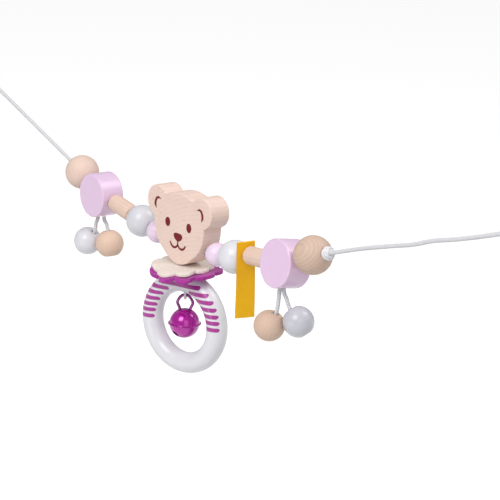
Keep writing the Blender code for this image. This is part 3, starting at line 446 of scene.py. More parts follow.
def smooth_route(route, step, closed=False):
    """Points at even steps along a smooth curve through the route's own points."""
    nodes = [Vector(point) for point in route]
    count = len(nodes)
    dense = []
    for i in range(count if closed else count - 1):
        p1 = nodes[i]
        p2 = nodes[(i + 1) % count]
        p0 = nodes[i - 1] if closed or i > 0 else p1 * 2 - p2
        p3 = nodes[(i + 2) % count] if closed or i + 2 < count else p2 * 2 - p1
        d0, d1, d2 = (max((b - a).length, 1e-9) for a, b in ((p0, p1), (p1, p2), (p2, p3)))
        m1 = (p2 - p1) / d1 * (d0 / (d0 + d1)) + (p1 - p0) / d0 * (d1 / (d0 + d1))
        m2 = (p3 - p2) / d2 * (d1 / (d1 + d2)) + (p2 - p1) / d1 * (d2 / (d1 + d2))
        dense += [hermite(k / 24, p1, p2, m1 * d1, m2 * d1) for k in range(24)]
    dense = np.array(dense + [nodes[0] if closed else nodes[-1]])
    along = along_of(dense)
    wanted = np.linspace(0, along[-1], max(3, round(along[-1] / step)) + 1)
    points = np.stack([np.interp(wanted, along, dense[:, k]) for k in range(3)], 1)
    return points[:-1] if closed else points


# %% Sweep a tube along a curve
def sweep(name, points, sides, radius_at, closed=False):
    """A tube along the points, in metres. radius_at(turn, along) gives its radius."""
    points = np.asarray(points, float)
    count = len(points)
    ahead = np.roll(points, -1, 0) - np.roll(points, 1, 0)
    if not closed:
        ahead[0] = points[1] - points[0]
        ahead[-1] = points[-1] - points[-2]
    ahead = ahead / np.linalg.norm(ahead, axis=1)[:, None]
    side = Vector(ahead[0]).orthogonal().normalized()
    ways = []
    for direction in (Vector(way) for way in ahead):
        side = (side - direction * side.dot(direction)).normalized()
        ways.append(side)
    twist = 0.0
    if closed:
        direction = Vector(ahead[0])
        last = (side - direction * side.dot(direction)).normalized()
        twist = math.atan2(ways[0].dot(direction.cross(last)), ways[0].dot(last))
    ways = np.array(ways)
    turn = (np.arange(sides) * math.tau / sides)[None, :] + np.zeros((count, 1))
    radius = radius_at(turn, along_of(points)[:, None])
    shown = turn + (twist * np.arange(count) / count)[:, None]
    ring = (points[:, None, :]
            + ways[:, None, :] * (np.cos(shown) * radius)[:, :, None]
            + np.cross(ahead, ways)[:, None, :] * (np.sin(shown) * radius)[:, :, None])
    faces = tube_faces(count, sides, closed)
    if not closed:
        faces.append(tuple(range(sides - 1, -1, -1)))
        faces.append(tuple(range((count - 1) * sides, count * sides)))
    mesh = bpy.data.meshes.new(name)
    mesh.from_pydata(ring.reshape(-1, 3).tolist(), [], faces)
    return smoothed(mesh, 60)


# %% [markdown]
# ## Braided cord
# The cord is a round braid: as many strands wind one way as the other, each going over
# one and under the next. Modelling the strands one by one would need a great many tubes,
# so the tube's own surface is raised where a strand lies on top. The height comes from
# the two families of strands, and the higher one shows.

# %% Raise the braid on a tube
BRAID_STRANDS = 4
CORD_D = 2.0 * MM
FREE_CORD_D = 2.5 * MM
THIN_CORD_D = 1.6 * MM
STRAND_LOW = (0.72, 0.72, 0.745)
STRAND_HIGH = (0.87, 0.87, 0.895)
# The colour below is painted shade, laid in the hollows between the strands of a cord that is
# white all over.
GROOVE_SHADE = (0.34, 0.34, 0.37, 1)


def braid(diameter, pitch=1.7 * MM, depth=0.17):
    """The radius of a braided cord at a turn round it and a length along it."""
    def radius_at(turn, along):
        p = (BRAID_STRANDS * turn + math.tau * along / pitch) / math.tau
        q = (BRAID_STRANDS * turn - math.tau * along / pitch) / math.tau
        over = np.sqrt(np.clip(1 - (1.85 * (q - np.round(q))) ** 2, 0, 1))
        under = np.sqrt(np.clip(1 - (1.85 * (p - np.round(p))) ** 2, 0, 1))
        one = 0.62 * over + 0.38 * np.cos(math.pi * (p + np.round(q)))
        two = 0.62 * under - 0.38 * np.cos(math.pi * (q + np.round(p)))
        return diameter / 2 * (1 - depth + depth * np.maximum(one, two))
    return radius_at


def cord_finish(name):
    cotton = Finish(name, 0.62, Sheen_Weight=0.25, Sheen_Roughness=0.4, Specular_IOR_Level=0.3)
    fibres = cotton.noise(5200.0, 3.0)
    shade = cotton.calc("MULTIPLY", fibres, cotton.noise(260.0, 2.0))
    # Where the surface is hollow, between the strands, pointiness blends the colour towards the
    # painted shade.
    shape = add(cotton.tree, "NewGeometry").outputs["Pointiness"]
    mix = add(cotton.tree, "Mix", {"Factor": cotton.spread(shape, 0.47, 0.53), "A": GROOVE_SHADE,
                                   "B": cotton.blend(shade, STRAND_LOW, STRAND_HIGH)},
              data_type="RGBA")
    cotton.set(Base_Color=mix.outputs["Result"])
    cotton.bump(fibres, 0.00008, 0.5)
    return cotton


white_cord = cord_finish("braided white cord")


def braided(name, points, diameter, body, *nodes, sides=32, step=0.24 * MM, closed=False):
    """A braided cord along the points, which are in metres and in the model's place."""
    mesh = sweep(name, smooth_route(points, step, closed), sides, braid(diameter), closed)
    return mount(name, mesh, Matrix.Identity(4), white_cord, body, "cord_white", *nodes)


print("braid of", 2 * BRAID_STRANDS, "strands")

# %% [markdown]
# ## The main cord and its two free ends
# One cord goes through everything, from stop knot to stop knot, and on to the hooks. In
# the photograph it is pulled taut and leaves the view on both sides, so its free ends
# run straight to their hooks just outside. The right one keeps a little waviness from
# the way it was packed.

# %% Route of the threaded cord
GAP = 0.3 * MM
HEAD_EXIT = 19.0 * MM
END_RADIUS = 11.0 * MM
END_FLAT = 6.6 * MM
CYLINDER_RADIUS = 14.0 * MM
STOP_KNOT_LENGTH = {"left": 3.0 * MM, "right": 6.2 * MM}
flat_reach = math.sqrt(END_RADIUS ** 2 - (END_FLAT / 2) ** 2)


def away_of(word):
    """The direction in which a free cord leaves its end ball."""
    return (middle(word + "_hook_knot") - place_of(word + "_end_ball_spin")).normalized()


def outside(word, more=0.0):
    """A point on the free cord, half a stop knot and a little more from the end ball."""
    reach = flat_reach + STOP_KNOT_LENGTH[word] / 2 + more
    return place_of(word + "_end_ball_spin") + away_of(word) * reach


def half_route(side, word):
    """The threaded cord's points from the head out to an end ball."""
    yaw = axis_of("head_swing")
    exit_at = head_bore + Vector((side * HEAD_EXIT, side * HEAD_EXIT * yaw.y / yaw.x / 2,
                                  0.15 * MM))
    drum = place_of(word + "_cylinder_swing")
    bore = axis_of(word + "_cylinder_swing") * CYLINDER_RADIUS
    beads = [place_of(word + bead) for bead in ("_pink_ball_spin", "_white_ball_spin",
                                                "_dowel_spin")]
    return [exit_at, *beads, drum - bore, drum + bore, place_of(word + "_end_ball_spin"),
            outside(word)]


threaded = half_route(*SIDES[0])[::-1] + [head_bore] + half_route(*SIDES[1])
main_points = smooth_route(threaded, 5.2 * MM)
braided("main_braid", main_points, CORD_D, "chain", "main_cord", sides=24, step=0.3 * MM)
print("threaded cord", round(length_of(main_points) / MM), "mm")

# %% Free cords, taut to their hooks
RIGHT_WAVES = ((22.0, 0.2), (46.0, 0.5), (66.0, 0.1), (84.0, -0.3), (96.0, 0.35),
               (112.0, -0.1), (130.0, -0.2), (146.0, 0.1))
for side, word in SIDES:
    ball = place_of(word + "_end_ball_spin")
    away = away_of(word)
    lean = Vector((-away.z * side, 0, abs(away.x)))
    route = [outside(word, GAP)]
    for reach, offset in (RIGHT_WAVES if side > 0 else ()):
        route.append(ball + away * reach * MM + lean * offset * MM)
    points = smooth_route(route + [middle(word + "_hook_knot")], 5.6 * MM)
    cord = braided(word + "_free_braid", points, FREE_CORD_D, "chain", word + "_free_cord")
    print(word, "free cord", round(length_of(points) / MM, 1), "mm")

# %% [markdown]
# ## Knots
# Each knot is the same cord, wound round itself and pulled tight. A small one is drawn
# as a trefoil wound round the cord, which is what a tight overhand knot looks like from
# outside. The large stop knot on the right has more crossings, like a tiny woven ball.

# %% Tie the knots
def knot(name, at, axis, size, body, *nodes, winds=2, crossings=3, pull=0.14):
    """A closed winding round the cord. Its size is width, length and strand, in mm."""
    width, length, strand = (value * MM for value in size)
    place = stand(at, axis, UP if abs(Vector(axis).normalized().z) < 0.9 else (1, 0, 0))
    reach = (width - strand) / 2
    half = (length - strand) / 2
    route = []
    steps = 16 * max(winds, crossings)
    for i in range(steps):
        t = math.tau * i / steps
        wave = crossings * t
        radius = reach * (1 - pull + pull * math.cos(wave))
        route.append(place @ Vector((half * math.sin(wave), radius * math.cos(winds * t),
                                     radius * math.sin(winds * t))))
    braided(name, route, strand, body, *nodes, sides=20, step=0.3 * MM, closed=True)


STOP_KNOTS = {"left": (0.0, (5.6, 3.2, 1.75), 2, 0.14),
              "right": (-0.7, (8.2, 4.9, 1.9), 5, 0.36)}
for _, word in SIDES:
    away = away_of(word)
    shift, size, winds, pull = STOP_KNOTS[word]
    knot(word + "_stop_winding", outside(word, GAP) + away * shift * MM, away, size, "chain",
         word + "_stop_knot", winds=winds, pull=pull)
    knot(word + "_hook_winding", middle(word + "_hook_knot"), away, (6.6, 6.2, 1.9), "chain",
         word + "_hook_knot")
    knot(word + "_head_winding", middle(word + "_head_knot"),
         place_of(word + "_pink_ball_spin") - head_bore, (5.7, 3.2, 1.6), "chain",
         word + "_head_knot")
knot("ring_winding", middle("ring_knot"), UP, (5.1, 3.0, 1.5), "ring", "ring_knot")
print("knots tied")

# %% [markdown]
# ## Beech
# The plain wood is beech: pale, pinkish, with close growth rings and short dark flecks
# along the grain. Rings are a wave texture round an axis that lies beside the piece, as
# the middle of the log did. Flecks and fibres are noise, drawn out along the grain. Each
# piece has its own place in the log, so that no two look the same.

# %% Beech finish
BEECH_LIGHT = (0.84, 0.645, 0.55)
BEECH_DARK = (0.67, 0.48, 0.39)


def beech(name, log_at, turn=(0, 0, 0), ring_gap=2.2, contrast=0.5, tone=1.0, warm=1.0):
    """Beech whose log runs along the piece's own X, and has its middle at log_at."""
    wood = Finish(name, 0.5, Specular_IOR_Level=0.35)
    here = wood.own((1, 1, 1), log_at, turn)
    sway = add(wood.tree, "TexNoise", {"Vector": here, "Scale": 45.0, "Detail": 2.0})
    sway = add(wood.tree, "VectorMath", {0: sway.outputs["Color"], "Scale": 0.0016},
               operation="SCALE")
    moved = add(wood.tree, "VectorMath", {0: here, 1: sway.outputs["Vector"]})
    shade = wood.calc("MULTIPLY", wood.waves(ring_gap, moved.outputs["Vector"], 2.0, 0.6,
                                             wave_type="RINGS", rings_direction="X",
                                             wave_profile="SAW"), contrast)
    fibre = wood.noise(2600.0, 3.0, wood.own((0.06, 1, 1), log_at, turn))
    fleck = wood.noise(1500.0, 1.0, wood.own((0.16, 1, 1), log_at, turn))
    for grain, weight in ((fibre, 0.5), (wood.noise(70.0, 2.0, here), 0.5),
                          (wood.spread(fleck, 0.64, 0.72), 0.35)):
        shade = wood.calc("MULTIPLY_ADD", grain, weight, shade)
    light, dark = ((r * tone, g * tone * warm ** 0.35, b * tone * warm)
                   for r, g, b in (BEECH_LIGHT, BEECH_DARK))
    wood.set(Base_Color=wood.blend(wood.spread(shade, 0.25, 1.35), light, dark))
    wood.bump(fibre, 0.00003, 0.6)
    return wood


# %% [markdown]
# ## Lacquer
# The pink and white pieces are beech under a thin satin lacquer. It hides the colour of
# the wood, but a trace of the grain still lifts it, so the bump is drawn out along the
# grain, and the gloss varies a little. A thin coat gives the second, sharper reflection.

# %% Lacquer finish
PINK = (0.80, 0.58, 0.79)
PALE_PINK = (0.83, 0.665, 0.83)
WHITE = (0.74, 0.74, 0.79)
RING_WHITE = (0.77, 0.77, 0.81)
SHADED_WHITE = (0.67, 0.67, 0.715)
# The next white is painted shade: a darker copy of the white lacquer for the right dangle, which
# hangs in the cylinder's shade.
PAINTED_SHADE_WHITE = (0.57, 0.57, 0.625)


def lacquer(name, colour, seed):
    paint = Finish(name, 0.34, Coat_Weight=0.25, Coat_Roughness=0.12, Specular_IOR_Level=0.5)
    offset = (0.013 * seed, 0.007 * seed, 0.019 * seed)
    grain = paint.noise(1400.0, 3.0, paint.own((0.05, 1, 1), offset))
    cloud = paint.noise(120.0, 2.0, paint.own((1, 1, 1), offset))
    paint.set(Base_Color=paint.blend(paint.calc("MULTIPLY", grain, cloud),
                                     *shades(colour, 0.93, 1.04, 0.92)),
              Roughness=paint.spread(cloud, 0, 1, 0.28, 0.42))
    paint.bump(grain, 0.00004, 0.5)
    return paint


# %% [markdown]
# ## Turned beads
# A bead is a ball with a small flat turned round each end of its bore. The bore's rim is
# slightly broken, as sanding leaves it. The lathe helper turns each one from its profile,
# and the grain runs along the bore, because the beads are turned from long rods.

# %% Turn the threaded beads
BORE = 3.8
FLAT = 6.6
BEADS = (("end_ball", "beech", 22.0, FLAT, 4.2), ("white_ball", "lacquer_white", 20.1, FLAT, BORE),
         ("pink_ball", "lacquer_pink", 14.2, 6.0, BORE))
BROKEN = 0.2
END_WOOD = {"left": {"contrast": 0.15, "tone": 0.96, "warm": 1.0},
            "right": {"contrast": 0.6, "tone": 0.82, "warm": 0.92}}


def bead_corners(diameter, flat, bore, depth=None, far_flat=None):
    """Profile of a ball with flats, bored through, or blind to a depth."""
    curve = arc_corners(diameter / 2, math.asin(flat / diameter),
                        math.pi - math.asin((far_flat or flat) / diameter))
    top = curve[0][0]
    low = curve[-1][0]
    curve[0] = (*curve[0][:2], 0.22)
    curve[-1] = (*curve[-1][:2], 0.22)
    if depth is None:
        return [(top, bore / 2, BROKEN)] + curve + [(low, bore / 2, BROKEN)]
    return [(top - depth, 0, 0), (top - depth, bore / 2, BROKEN), (top, bore / 2, BROKEN),
            *curve, (low, 0, 0)]


for index, (side, word) in enumerate(SIDES):
    for seed, (kind, slot, diameter, flat, bore) in enumerate(BEADS, 1 + 3 * index):
        node = word + "_" + kind
        name = word + "_turned_" + kind
        if slot == "beech":
            finish = beech(name, (0.01 * seed, 0.013 + 0.004 * index, -0.009), ring_gap=2.0,
                           **END_WOOD[word])
        elif slot == "lacquer_white":
            finish = lacquer(name, SHADED_WHITE if side < 0 else WHITE, seed)
        else:
            finish = lacquer(name, PALE_PINK, seed)
        mount(name, lathe(name, bead_corners(diameter, flat, bore)),
              stand(place_of(node + "_spin"), axis_of(node + "_spin"), UP), finish, node, slot,
              node)
print("beads turned", 2 * len(BEADS))

# %% [markdown]
# ## Dowels
# A dowel with well rounded ends keeps each cylinder away from the white ball. Its ends
# are where its box ends along its own axis, so its length is measured from the node.

# %% Turn the dowels
DOWEL_RADIUS = 5.5
DOWEL_ROUND = 2.8

for index, (_, word) in enumerate(SIDES):
    node = word + "_dowel"
    at = place_of(node + "_spin")
    axis = axis_of(node + "_spin")
    reaches = [(vertex.co - at).dot(axis) for vertex in frame["nodes"][node].data.vertices]
    low, high = min(reaches), max(reaches)
    half = (high - low) / 2 / MM
    quarter = [(half - DOWEL_ROUND * (1 - math.cos(math.pi / 2 * i / 12)),
                DOWEL_RADIUS - DOWEL_ROUND * (1 - math.sin(math.pi / 2 * i / 12)), 0)
               for i in range(13)]
    mount(word + "_turned_dowel",
          lathe(word + "_turned_dowel", mirrored([(half, BORE / 2, BROKEN)] + quarter), 64),
          stand(at + axis * (low + high) / 2, axis, UP),
          beech(word + " dowel", (0.02 + 0.03 * index, -0.006, 0.008), ring_gap=1.8,
                warm=0.96), node, "beech", node)
    print(word, "dowel", round(2 * half, 2), "mm long")

# %% [markdown]
# ## Cylinders
# A cylinder lies on its side. The cord goes across it, and a short well in its underside
# takes the knot of the two dangles. The wells and bores are cut with Booleans from fine
# turnings, and the modifiers are applied so that only the finished mesh is left. The
# wells are wide enough for the dangle cords to swing in.

# %% Cut with Booleans
def carve(piece, tool, operation="DIFFERENCE"):
    """An exact Boolean, applied at once, and the tool is thrown away."""
    modifier = piece.modifiers.new("carve", "BOOLEAN")
    modifier.operation = operation
    modifier.solver = "EXACT"
    modifier.object = tool
    bpy.context.view_layer.update()
    result = bpy.data.meshes.new_from_object(
        piece.evaluated_get(bpy.context.evaluated_depsgraph_get()))
    piece.modifiers.clear()
    old = piece.data
    name = old.name
    piece.data = result
    bpy.data.meshes.remove(old)
    result.name = name
    bpy.data.objects.remove(tool)
    smoothed(result)


def drill(piece, name, diameter, start, end):
    """Cuts a round hole between two points of the model's space, in metres."""
    way = Vector(end) - Vector(start)
    length = way.length / MM
    corners = [(length, 0, 0), (length, diameter / 2, 0), (0, diameter / 2, 0), (0, 0, 0)]
    side = UP if abs(way.normalized().z) < 0.9 else (1, 0, 0)
    carve(piece, put(name, lathe(name, corners, 40), stand(start, way, side)))


# %% Turn and drill the cylinders
CYLINDER_LENGTH = 15.6
CYLINDER_RISE = 2.1
CYLINDER_EDGE = 0.9
EDGE_HOLD = 2.0
PLAY = 0.6
WELL_D = {"left": 8.2, "right": 6.6}
WELL_DEPTH = 10.6
TINTS = ("white", "natural")


def well_of(word):
    """The mouths of a cylinder's two dangles, the point between them, and the way down."""
    mouths = {tint: place_of(word + "_" + tint + "_dangle_swing") for tint in TINTS}
    underside = (mouths["white"] + mouths["natural"]) / 2
    return mouths, underside, (underside - place_of(word + "_cylinder_swing")).normalized()


for index, (_, word) in enumerate(SIDES):
    node = word + "_cylinder"
    name = word + "_turned_cylinder"
    drum = place_of(node + "_swing")
    bore = axis_of(node + "_swing")
    _, underside, down = well_of(word)
    centre = drum + down * CYLINDER_RISE * MM
    half = CYLINDER_LENGTH / 2
    radius = CYLINDER_RADIUS / MM
    corners = mirrored([(half, 0, 0), (half, radius - EDGE_HOLD, 0),
                        (half, radius, CYLINDER_EDGE), (half - EDGE_HOLD, radius, 0)])
    piece = mount(name, lathe(name, corners, 128), stand(centre, down.cross(bore), UP),
                  lacquer(word + " cylinder pink", PINK, 11 + index), node, "lacquer_pink",
                  node)
    across = bore * CYLINDER_RADIUS * 1.3
    drill(piece, "cord bore", BORE + PLAY, drum - across, drum + across)
    drill(piece, "dangle well", WELL_D[word], underside + down * 2 * MM,
          underside - down * WELL_DEPTH * MM)
    print(word, "cylinder centre", [round(v, 4) for v in centre])

# %% [markdown]
# ## Dangles
# Below each cylinder two balls hang side by side, one white and one plain. Their places
# aren't joints, so each is measured: the middle is the point that lies one radius from
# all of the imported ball's outer vertices, and the bore points to the vertices inside it.

# %% Measure and turn the hanging balls
DANGLE_RADIUS = 9.0
DANGLE_BORE = 3.5
DANGLE_DEPTH = 12.5
LEFT_NATURAL_FLAT = 9.2


def measure_ball(node, radius):
    """Middle of a ball node and the way its bore opens, from its vertices."""
    points = np.array([vertex.co for vertex in frame["nodes"][node].data.vertices])
    centre = (points.min(0) + points.max(0)) / 2
    for _ in range(6):
        off = np.linalg.norm(points - centre, axis=1)
        skin = points[np.abs(off - radius) < 0.25 * MM]
        rows = np.hstack([2 * skin, np.ones((len(skin), 1))])
        centre = np.linalg.lstsq(rows, (skin ** 2).sum(1), rcond=None)[0][:3]
    off = np.linalg.norm(points - centre, axis=1)
    return Vector(centre), Vector(points[off < 0.97 * radius].mean(0) - centre).normalized()


balls = {}
for index, (side, word) in enumerate(SIDES):
    for tint in TINTS:
        node = word + "_" + tint + "_dangle_ball"
        centre, way = measure_ball(node, DANGLE_RADIUS * MM)
        balls[node] = (centre, way)
        far_flat = LEFT_NATURAL_FLAT if (word, tint) == ("left", "natural") else FLAT
        corners = bead_corners(2 * DANGLE_RADIUS, FLAT, DANGLE_BORE, DANGLE_DEPTH, far_flat)
        # The right dangle balls are painted darker than the left ones, white and plain alike:
        # painted shade where the right cylinder shades them.
        if tint == "white":
            finish = lacquer(node, WHITE if side < 0 else PAINTED_SHADE_WHITE, 20 + index)
        else:
            finish = beech(node, (0.05 + 0.02 * index, 0.011, 0.009), ring_gap=1.9,
                           contrast=0.12 + 0.1 * index, tone=0.95 - 0.1 * index, warm=0.88)
        mount(node + "_turned", lathe(node + "_turned", corners), stand(centre, way, (0, 1, 0)),
              finish, word + "_" + tint + "_dangle",
              "lacquer_white" if tint == "white" else "beech", node)
        print(node, [round(v, 4) for v in centre], "bore", [round(v, 3) for v in way])

# %% [markdown]
# ## Dangle cords and the knots in the wells
# The two dangles are one piece of cord, held by a knot in the well of the cylinder. Each
# end bows outwards on its way down to its ball. Only the knot's lowest strands can be
# seen from below, so it is drawn as a winding with two short straight stubs.

# %% Braid the dangle cords
DANGLE_CORD_D = 2.5 * MM
BOW = {"left": (1.2, 1.35, 0.8), "right": (0.05, 0.2, -0.45)}
STUB_TOP = {"left": 1.6, "right": 0.6}
STUB_SPREAD = {"left": 1.0, "right": 0.15}
KNOT_INSET = 2.1
STUB_INSET = 2.4

for _, word in SIDES:
    mouths, underside, down = well_of(word)
    at_mouth, below, between = (reach * MM for reach in BOW[word])
    for tint, mouth in mouths.items():
        outward = (mouth - underside).normalized()
        centre, way = balls[word + "_" + tint + "_dangle_ball"]
        entry = centre + way * math.sqrt(DANGLE_RADIUS ** 2 - (FLAT / 2) ** 2) * MM
        route = [mouth - UP * 0.3 * MM + outward * at_mouth,
                 mouth - UP * 2.2 * MM + outward * below,
                 mouth.lerp(entry, 0.5) + UP * 0.3 * MM + outward * between,
                 entry + way * 1.2 * MM, entry - way * DANGLE_DEPTH * 0.5 * MM,
                 entry - way * (DANGLE_DEPTH * MM - GAP)]
        dangle = word + "_" + tint + "_dangle"
        braided(dangle + "_braid", smooth_route(route, 2.9 * MM), DANGLE_CORD_D, dangle,
                dangle + "_cord")
print("dangle cords braided")

# %% Tie the dangle knots
for _, word in SIDES:
    mouths, underside, down = well_of(word)
    knot(word + "_dangle_winding", underside - down * (WELL_DEPTH - KNOT_INSET) * MM, down,
         (4.6, 3.6, 1.5), word + "_cylinder", word + "_dangle_knot", winds=3, crossings=2)
    for hand, mouth in zip("ab", mouths.values()):
        top = mouth + (mouth - underside) * STUB_SPREAD[word]
        stub = smooth_route([top - down * STUB_TOP[word] * MM,
                             top - down * (WELL_DEPTH - STUB_INSET) * MM], 1.0 * MM)
        braided(word + "_dangle_stub_" + hand, stub, DANGLE_CORD_D, word + "_cylinder")
print("dangle knots tied")

# %% [markdown]
# ## Label
# A woven ribbon, folded over the top and pierced by the cord. Its two layers are one
# strip of cloth, so it is built as one strip: up the front, over the fold, down the
# back. The strip bows a little, as stiff ribbon does, and its edges are denser where the
# weft turns back.

# %% Fold the label
LABEL_WIDTH = 12.0 * MM
LABEL_ABOVE = 8.2 * MM
LABEL_BELOW = 37.6 * MM
LABEL_HALF = 0.45 * MM
LABEL_SHIFT = -0.7 * MM
RIBBON = 0.26 * MM
LABEL_YAW = math.radians(6)
LABEL_TOP_YAW = math.radians(4)
LABEL_LOW_YAW = math.radians(12)
LABEL_SWING = math.radians(1.3)
LABEL_BOW = 0.35
LABEL_WARP = 0.25
EDGE_THIN = 0.55
WARPS = 25


def ribbon_line():
    """The strip's middle line in the label's own X and Z, from one end to the other."""
    top = LABEL_ABOVE - LABEL_HALF
    up = [(-1, -LABEL_BELOW + (LABEL_BELOW + top) * i / 40) for i in range(41)]
    fold = [(-math.cos(math.pi * i / 12),
             top + (LABEL_HALF - RIBBON / 2) * math.sin(math.pi * i / 12)) for i in range(1, 12)]
    return up + fold + [(1, z) for _, z in reversed(up)]


def ribbon_bow(across, z):
    """How far the hanging ribbon stands out of its plane."""
    fall = max(0.0, -z) / LABEL_BELOW
    return (LABEL_BOW * math.sin(math.pi * fall * 1.1) + LABEL_WARP * fall * across) * MM


def ribbon_point(k, way, z, along, layer_side):
    """A point of the strip's front or back, at one of its warp threads."""
    across = -1 + 2 * k / (WARPS - 1)
    thick = RIBBON / 2 * (EDGE_THIN if k in (0, WARPS - 1) else 1.0) * layer_side
    x = way * (LABEL_HALF - RIBBON / 2) - along.y * thick + ribbon_bow(across, z)
    top = z + along.x * thick
    y = LABEL_SHIFT + across * LABEL_WIDTH / 2 - top * math.tan(LABEL_SWING)
    share = (LABEL_ABOVE - top) / (LABEL_ABOVE + LABEL_BELOW)
    turn = LABEL_TOP_YAW + (LABEL_LOW_YAW - LABEL_TOP_YAW) * share - LABEL_YAW
    return (x * math.cos(turn) + y * math.sin(turn), y * math.cos(turn) - x * math.sin(turn),
            top)


line = ribbon_line()
rows = []
for i, (way, z) in enumerate(line):
    before = line[max(i - 1, 0)]
    after = line[min(i + 1, len(line) - 1)]
    along = Vector(((after[0] - before[0]) * (LABEL_HALF - RIBBON / 2),
                    after[1] - before[1])).normalized()
    rows.append([[ribbon_point(k, way, z, along, layer_side) for k in range(WARPS)]
                 for layer_side in (1, -1)])
bm = bmesh.new()
slab(bm, rows)
label_mesh = mesh_from(bm, "woven_label", 50)
print("ribbon strip of", len(line), "rows")

# %% Weave the label
YELLOW = (0.98, 0.53, 0.007)


def ribbon_finish():
    """A fine plain weave: ribs across the ribbon and threads along it."""
    cloth = Finish("woven yellow ribbon", 0.55, Sheen_Weight=0.08, Sheen_Roughness=0.35,
                   Specular_IOR_Level=0.25)
    here = cloth.own()
    weft = cloth.waves(0.32, here, 1.0, 0.4, 300.0, wave_type="BANDS", bands_direction="Z")
    warp = cloth.waves(0.42, here, 1.0, 0.3, 300.0, wave_type="BANDS", bands_direction="Y")
    cross = cloth.calc("MAXIMUM", weft, warp)
    shade = cloth.calc("MULTIPLY_ADD", cloth.noise(320.0, 3.0, here), 0.5,
                       cloth.calc("MULTIPLY", cross, 0.6))
    cloth.set(Base_Color=cloth.blend(shade, *shades(YELLOW, 0.84, 1.0)))
    cloth.bump(cross, 0.00006, 0.7)
    return cloth


label_place = stand(place_of("label_swing"), (math.cos(LABEL_YAW), -math.sin(LABEL_YAW), 0), UP)
label = mount("woven_label", label_mesh, label_place, ribbon_finish(), "label",
              "ribbon_yellow", "label")

# %% [markdown]
# ## Head
# The head is sawn from a thick beech board, and its edges are only just broken. Its
# outline is two ear circles and a cheek curve, whichever is further out. The log ran
# through the board's thickness, so the face shows wide arcs of growth rings and the
# edge shows straight lines.

# %% Outline of the head
EAR_X = 21.2
EAR_Z = 24.7
EAR_R = 9.5
OUTLINE_CENTRE_Z = 8.0
OUTLINE = ((-90, 18.8), (-68, 18.5), (-46, 18.5), (-30, 19.8), (-15, 21.6), (0, 22.9),
           (10, 23.9), (20, 24.9), (40, 25.3), (60, 25.6), (75, 25.2), (90, 25.0))
OUTLINE_STEPS = 160


def outline_radius(angle):
    """Radius of the outline at an angle in degrees, for the right-hand half."""
    k = max(i for i in range(len(OUTLINE) - 1) if OUTLINE[i][0] <= angle + 1e-9)
    a0, r0 = OUTLINE[k]
    a1, r1 = OUTLINE[k + 1]
    span = a1 - a0
    before = OUTLINE[k - 1] if k > 0 else (2 * a0 - a1, r1)
    after = OUTLINE[k + 2] if k + 2 < len(OUTLINE) else (2 * a1 - a0, r0)
    radius = hermite((angle - a0) / span, r0, r1, (r1 - before[1]) / (a1 - before[0]) * span,
                     (after[1] - r0) / (after[0] - a0) * span)
    ear = Vector((EAR_X, EAR_Z - OUTLINE_CENTRE_Z))
    along = ear.dot(Vector((math.cos(math.radians(angle)), math.sin(math.radians(angle)))))
    across = ear.length_squared - along ** 2
    if across < EAR_R ** 2 and along > 0:
        radius = max(radius, along + math.sqrt(EAR_R ** 2 - across))
    return radius


def head_outline(inset):
    half_line = []
    for i in range(OUTLINE_STEPS + 1):
        angle = -90 + 180 * i / OUTLINE_STEPS
        radius = outline_radius(angle) - inset
        half_line.append((radius * math.cos(math.radians(angle)),
                          OUTLINE_CENTRE_Z + radius * math.sin(math.radians(angle))))
    return half_line + [(-x, z) for x, z in reversed(half_line[1:-1])]


print("chin at", round(OUTLINE_CENTRE_Z - outline_radius(-90), 1), "mm")

# %% Saw and drill the head
HEAD_THICK = 14.0
HEAD_ROUND = 0.7
HEAD_HOLD = HEAD_ROUND * 1.6
HEAD_BORE = 3.4
HEAD_WELL = 7.4
WELL_TOP = 3.9 * MM
WELL_MOUTH = -26 * MM

half = HEAD_THICK / 2
layers = [(-half, HEAD_HOLD)]
for i in range(6):
    angle = math.pi / 2 * i / 5
    layers.append((-half + HEAD_ROUND * (1 - math.cos(angle)),
                   HEAD_ROUND * (1 - math.sin(angle))))
layers.append((-half + HEAD_HOLD, 0.0))
layers += [(-y, inset) for y, inset in reversed(layers)]
bm = bmesh.new()
rings = [[bm.verts.new((x * MM, y * MM, z * MM)) for x, z in head_outline(inset)]
         for y, inset in layers]
join_rings(bm, rings)
bm.faces.new(rings[0])
bm.faces.new(rings[-1])
head_place = stand(head_bore, axis_of("head_swing"), UP)
head_wood = beech("head beech", (-0.034, -0.03, 0.05), (0, 0, math.radians(90)), ring_gap=2.6,
                  contrast=0.3, tone=1.04, warm=1.05)
head = mount("sawn_head", mesh_from(bm, "sawn_head"), head_place, head_wood, "head", "beech",
             "head")
side_reach = Vector(((EAR_X + EAR_R) * MM, 0, 0))
drill(head, "head bore", HEAD_BORE, head_place @ -side_reach, head_place @ side_reach)
drill(head, "head well", HEAD_WELL, head_place @ Vector((0, 0, WELL_MOUTH)),
      head_place @ Vector((0, 0, WELL_TOP)))
print("head", len(head.data.polygons), "faces")

# %% [markdown]
# ## Printed face
# The face is printed in brown ink straight on the wood. Each mark is a thin film with
# its own edge, a few hundredths of a millimetre proud. Round marks are closed outlines.
# Lines are strips of changing width, so that they can end in a point or a round.

# %% Cut film shapes
FILM_FRONT = 0.04
FILM_BACK = -0.03


def film(name, outlines, lay):
    """Thin closed plates. lay(x, z, lift) gives a point of an outline at a lift in mm."""
    bm = bmesh.new()
    for outline in outlines:
        front, back = ([bm.verts.new(lay(x, z, lift)) for x, z in outline]
                       for lift in (FILM_FRONT, FILM_BACK))
        bm.faces.new(front)
        bm.faces.new(back[::-1])
        join_rings(bm, [front, back])
    return mesh_from(bm, name, None)


def flat_curve(points, step, closed=False):
    """Even points on a smooth curve in a plane, from (x, z) pairs in mm."""
    fine = smooth_route([(x, 0, z) for x, z in points], step, closed)
    return [(float(p[0]), float(p[2])) for p in fine]


def way_between(start, end):
    """The direction from one point of a plane to another, of length one."""
    size = math.hypot(end[0] - start[0], end[1] - start[1])
    return (end[0] - start[0]) / size, (end[1] - start[1]) / size


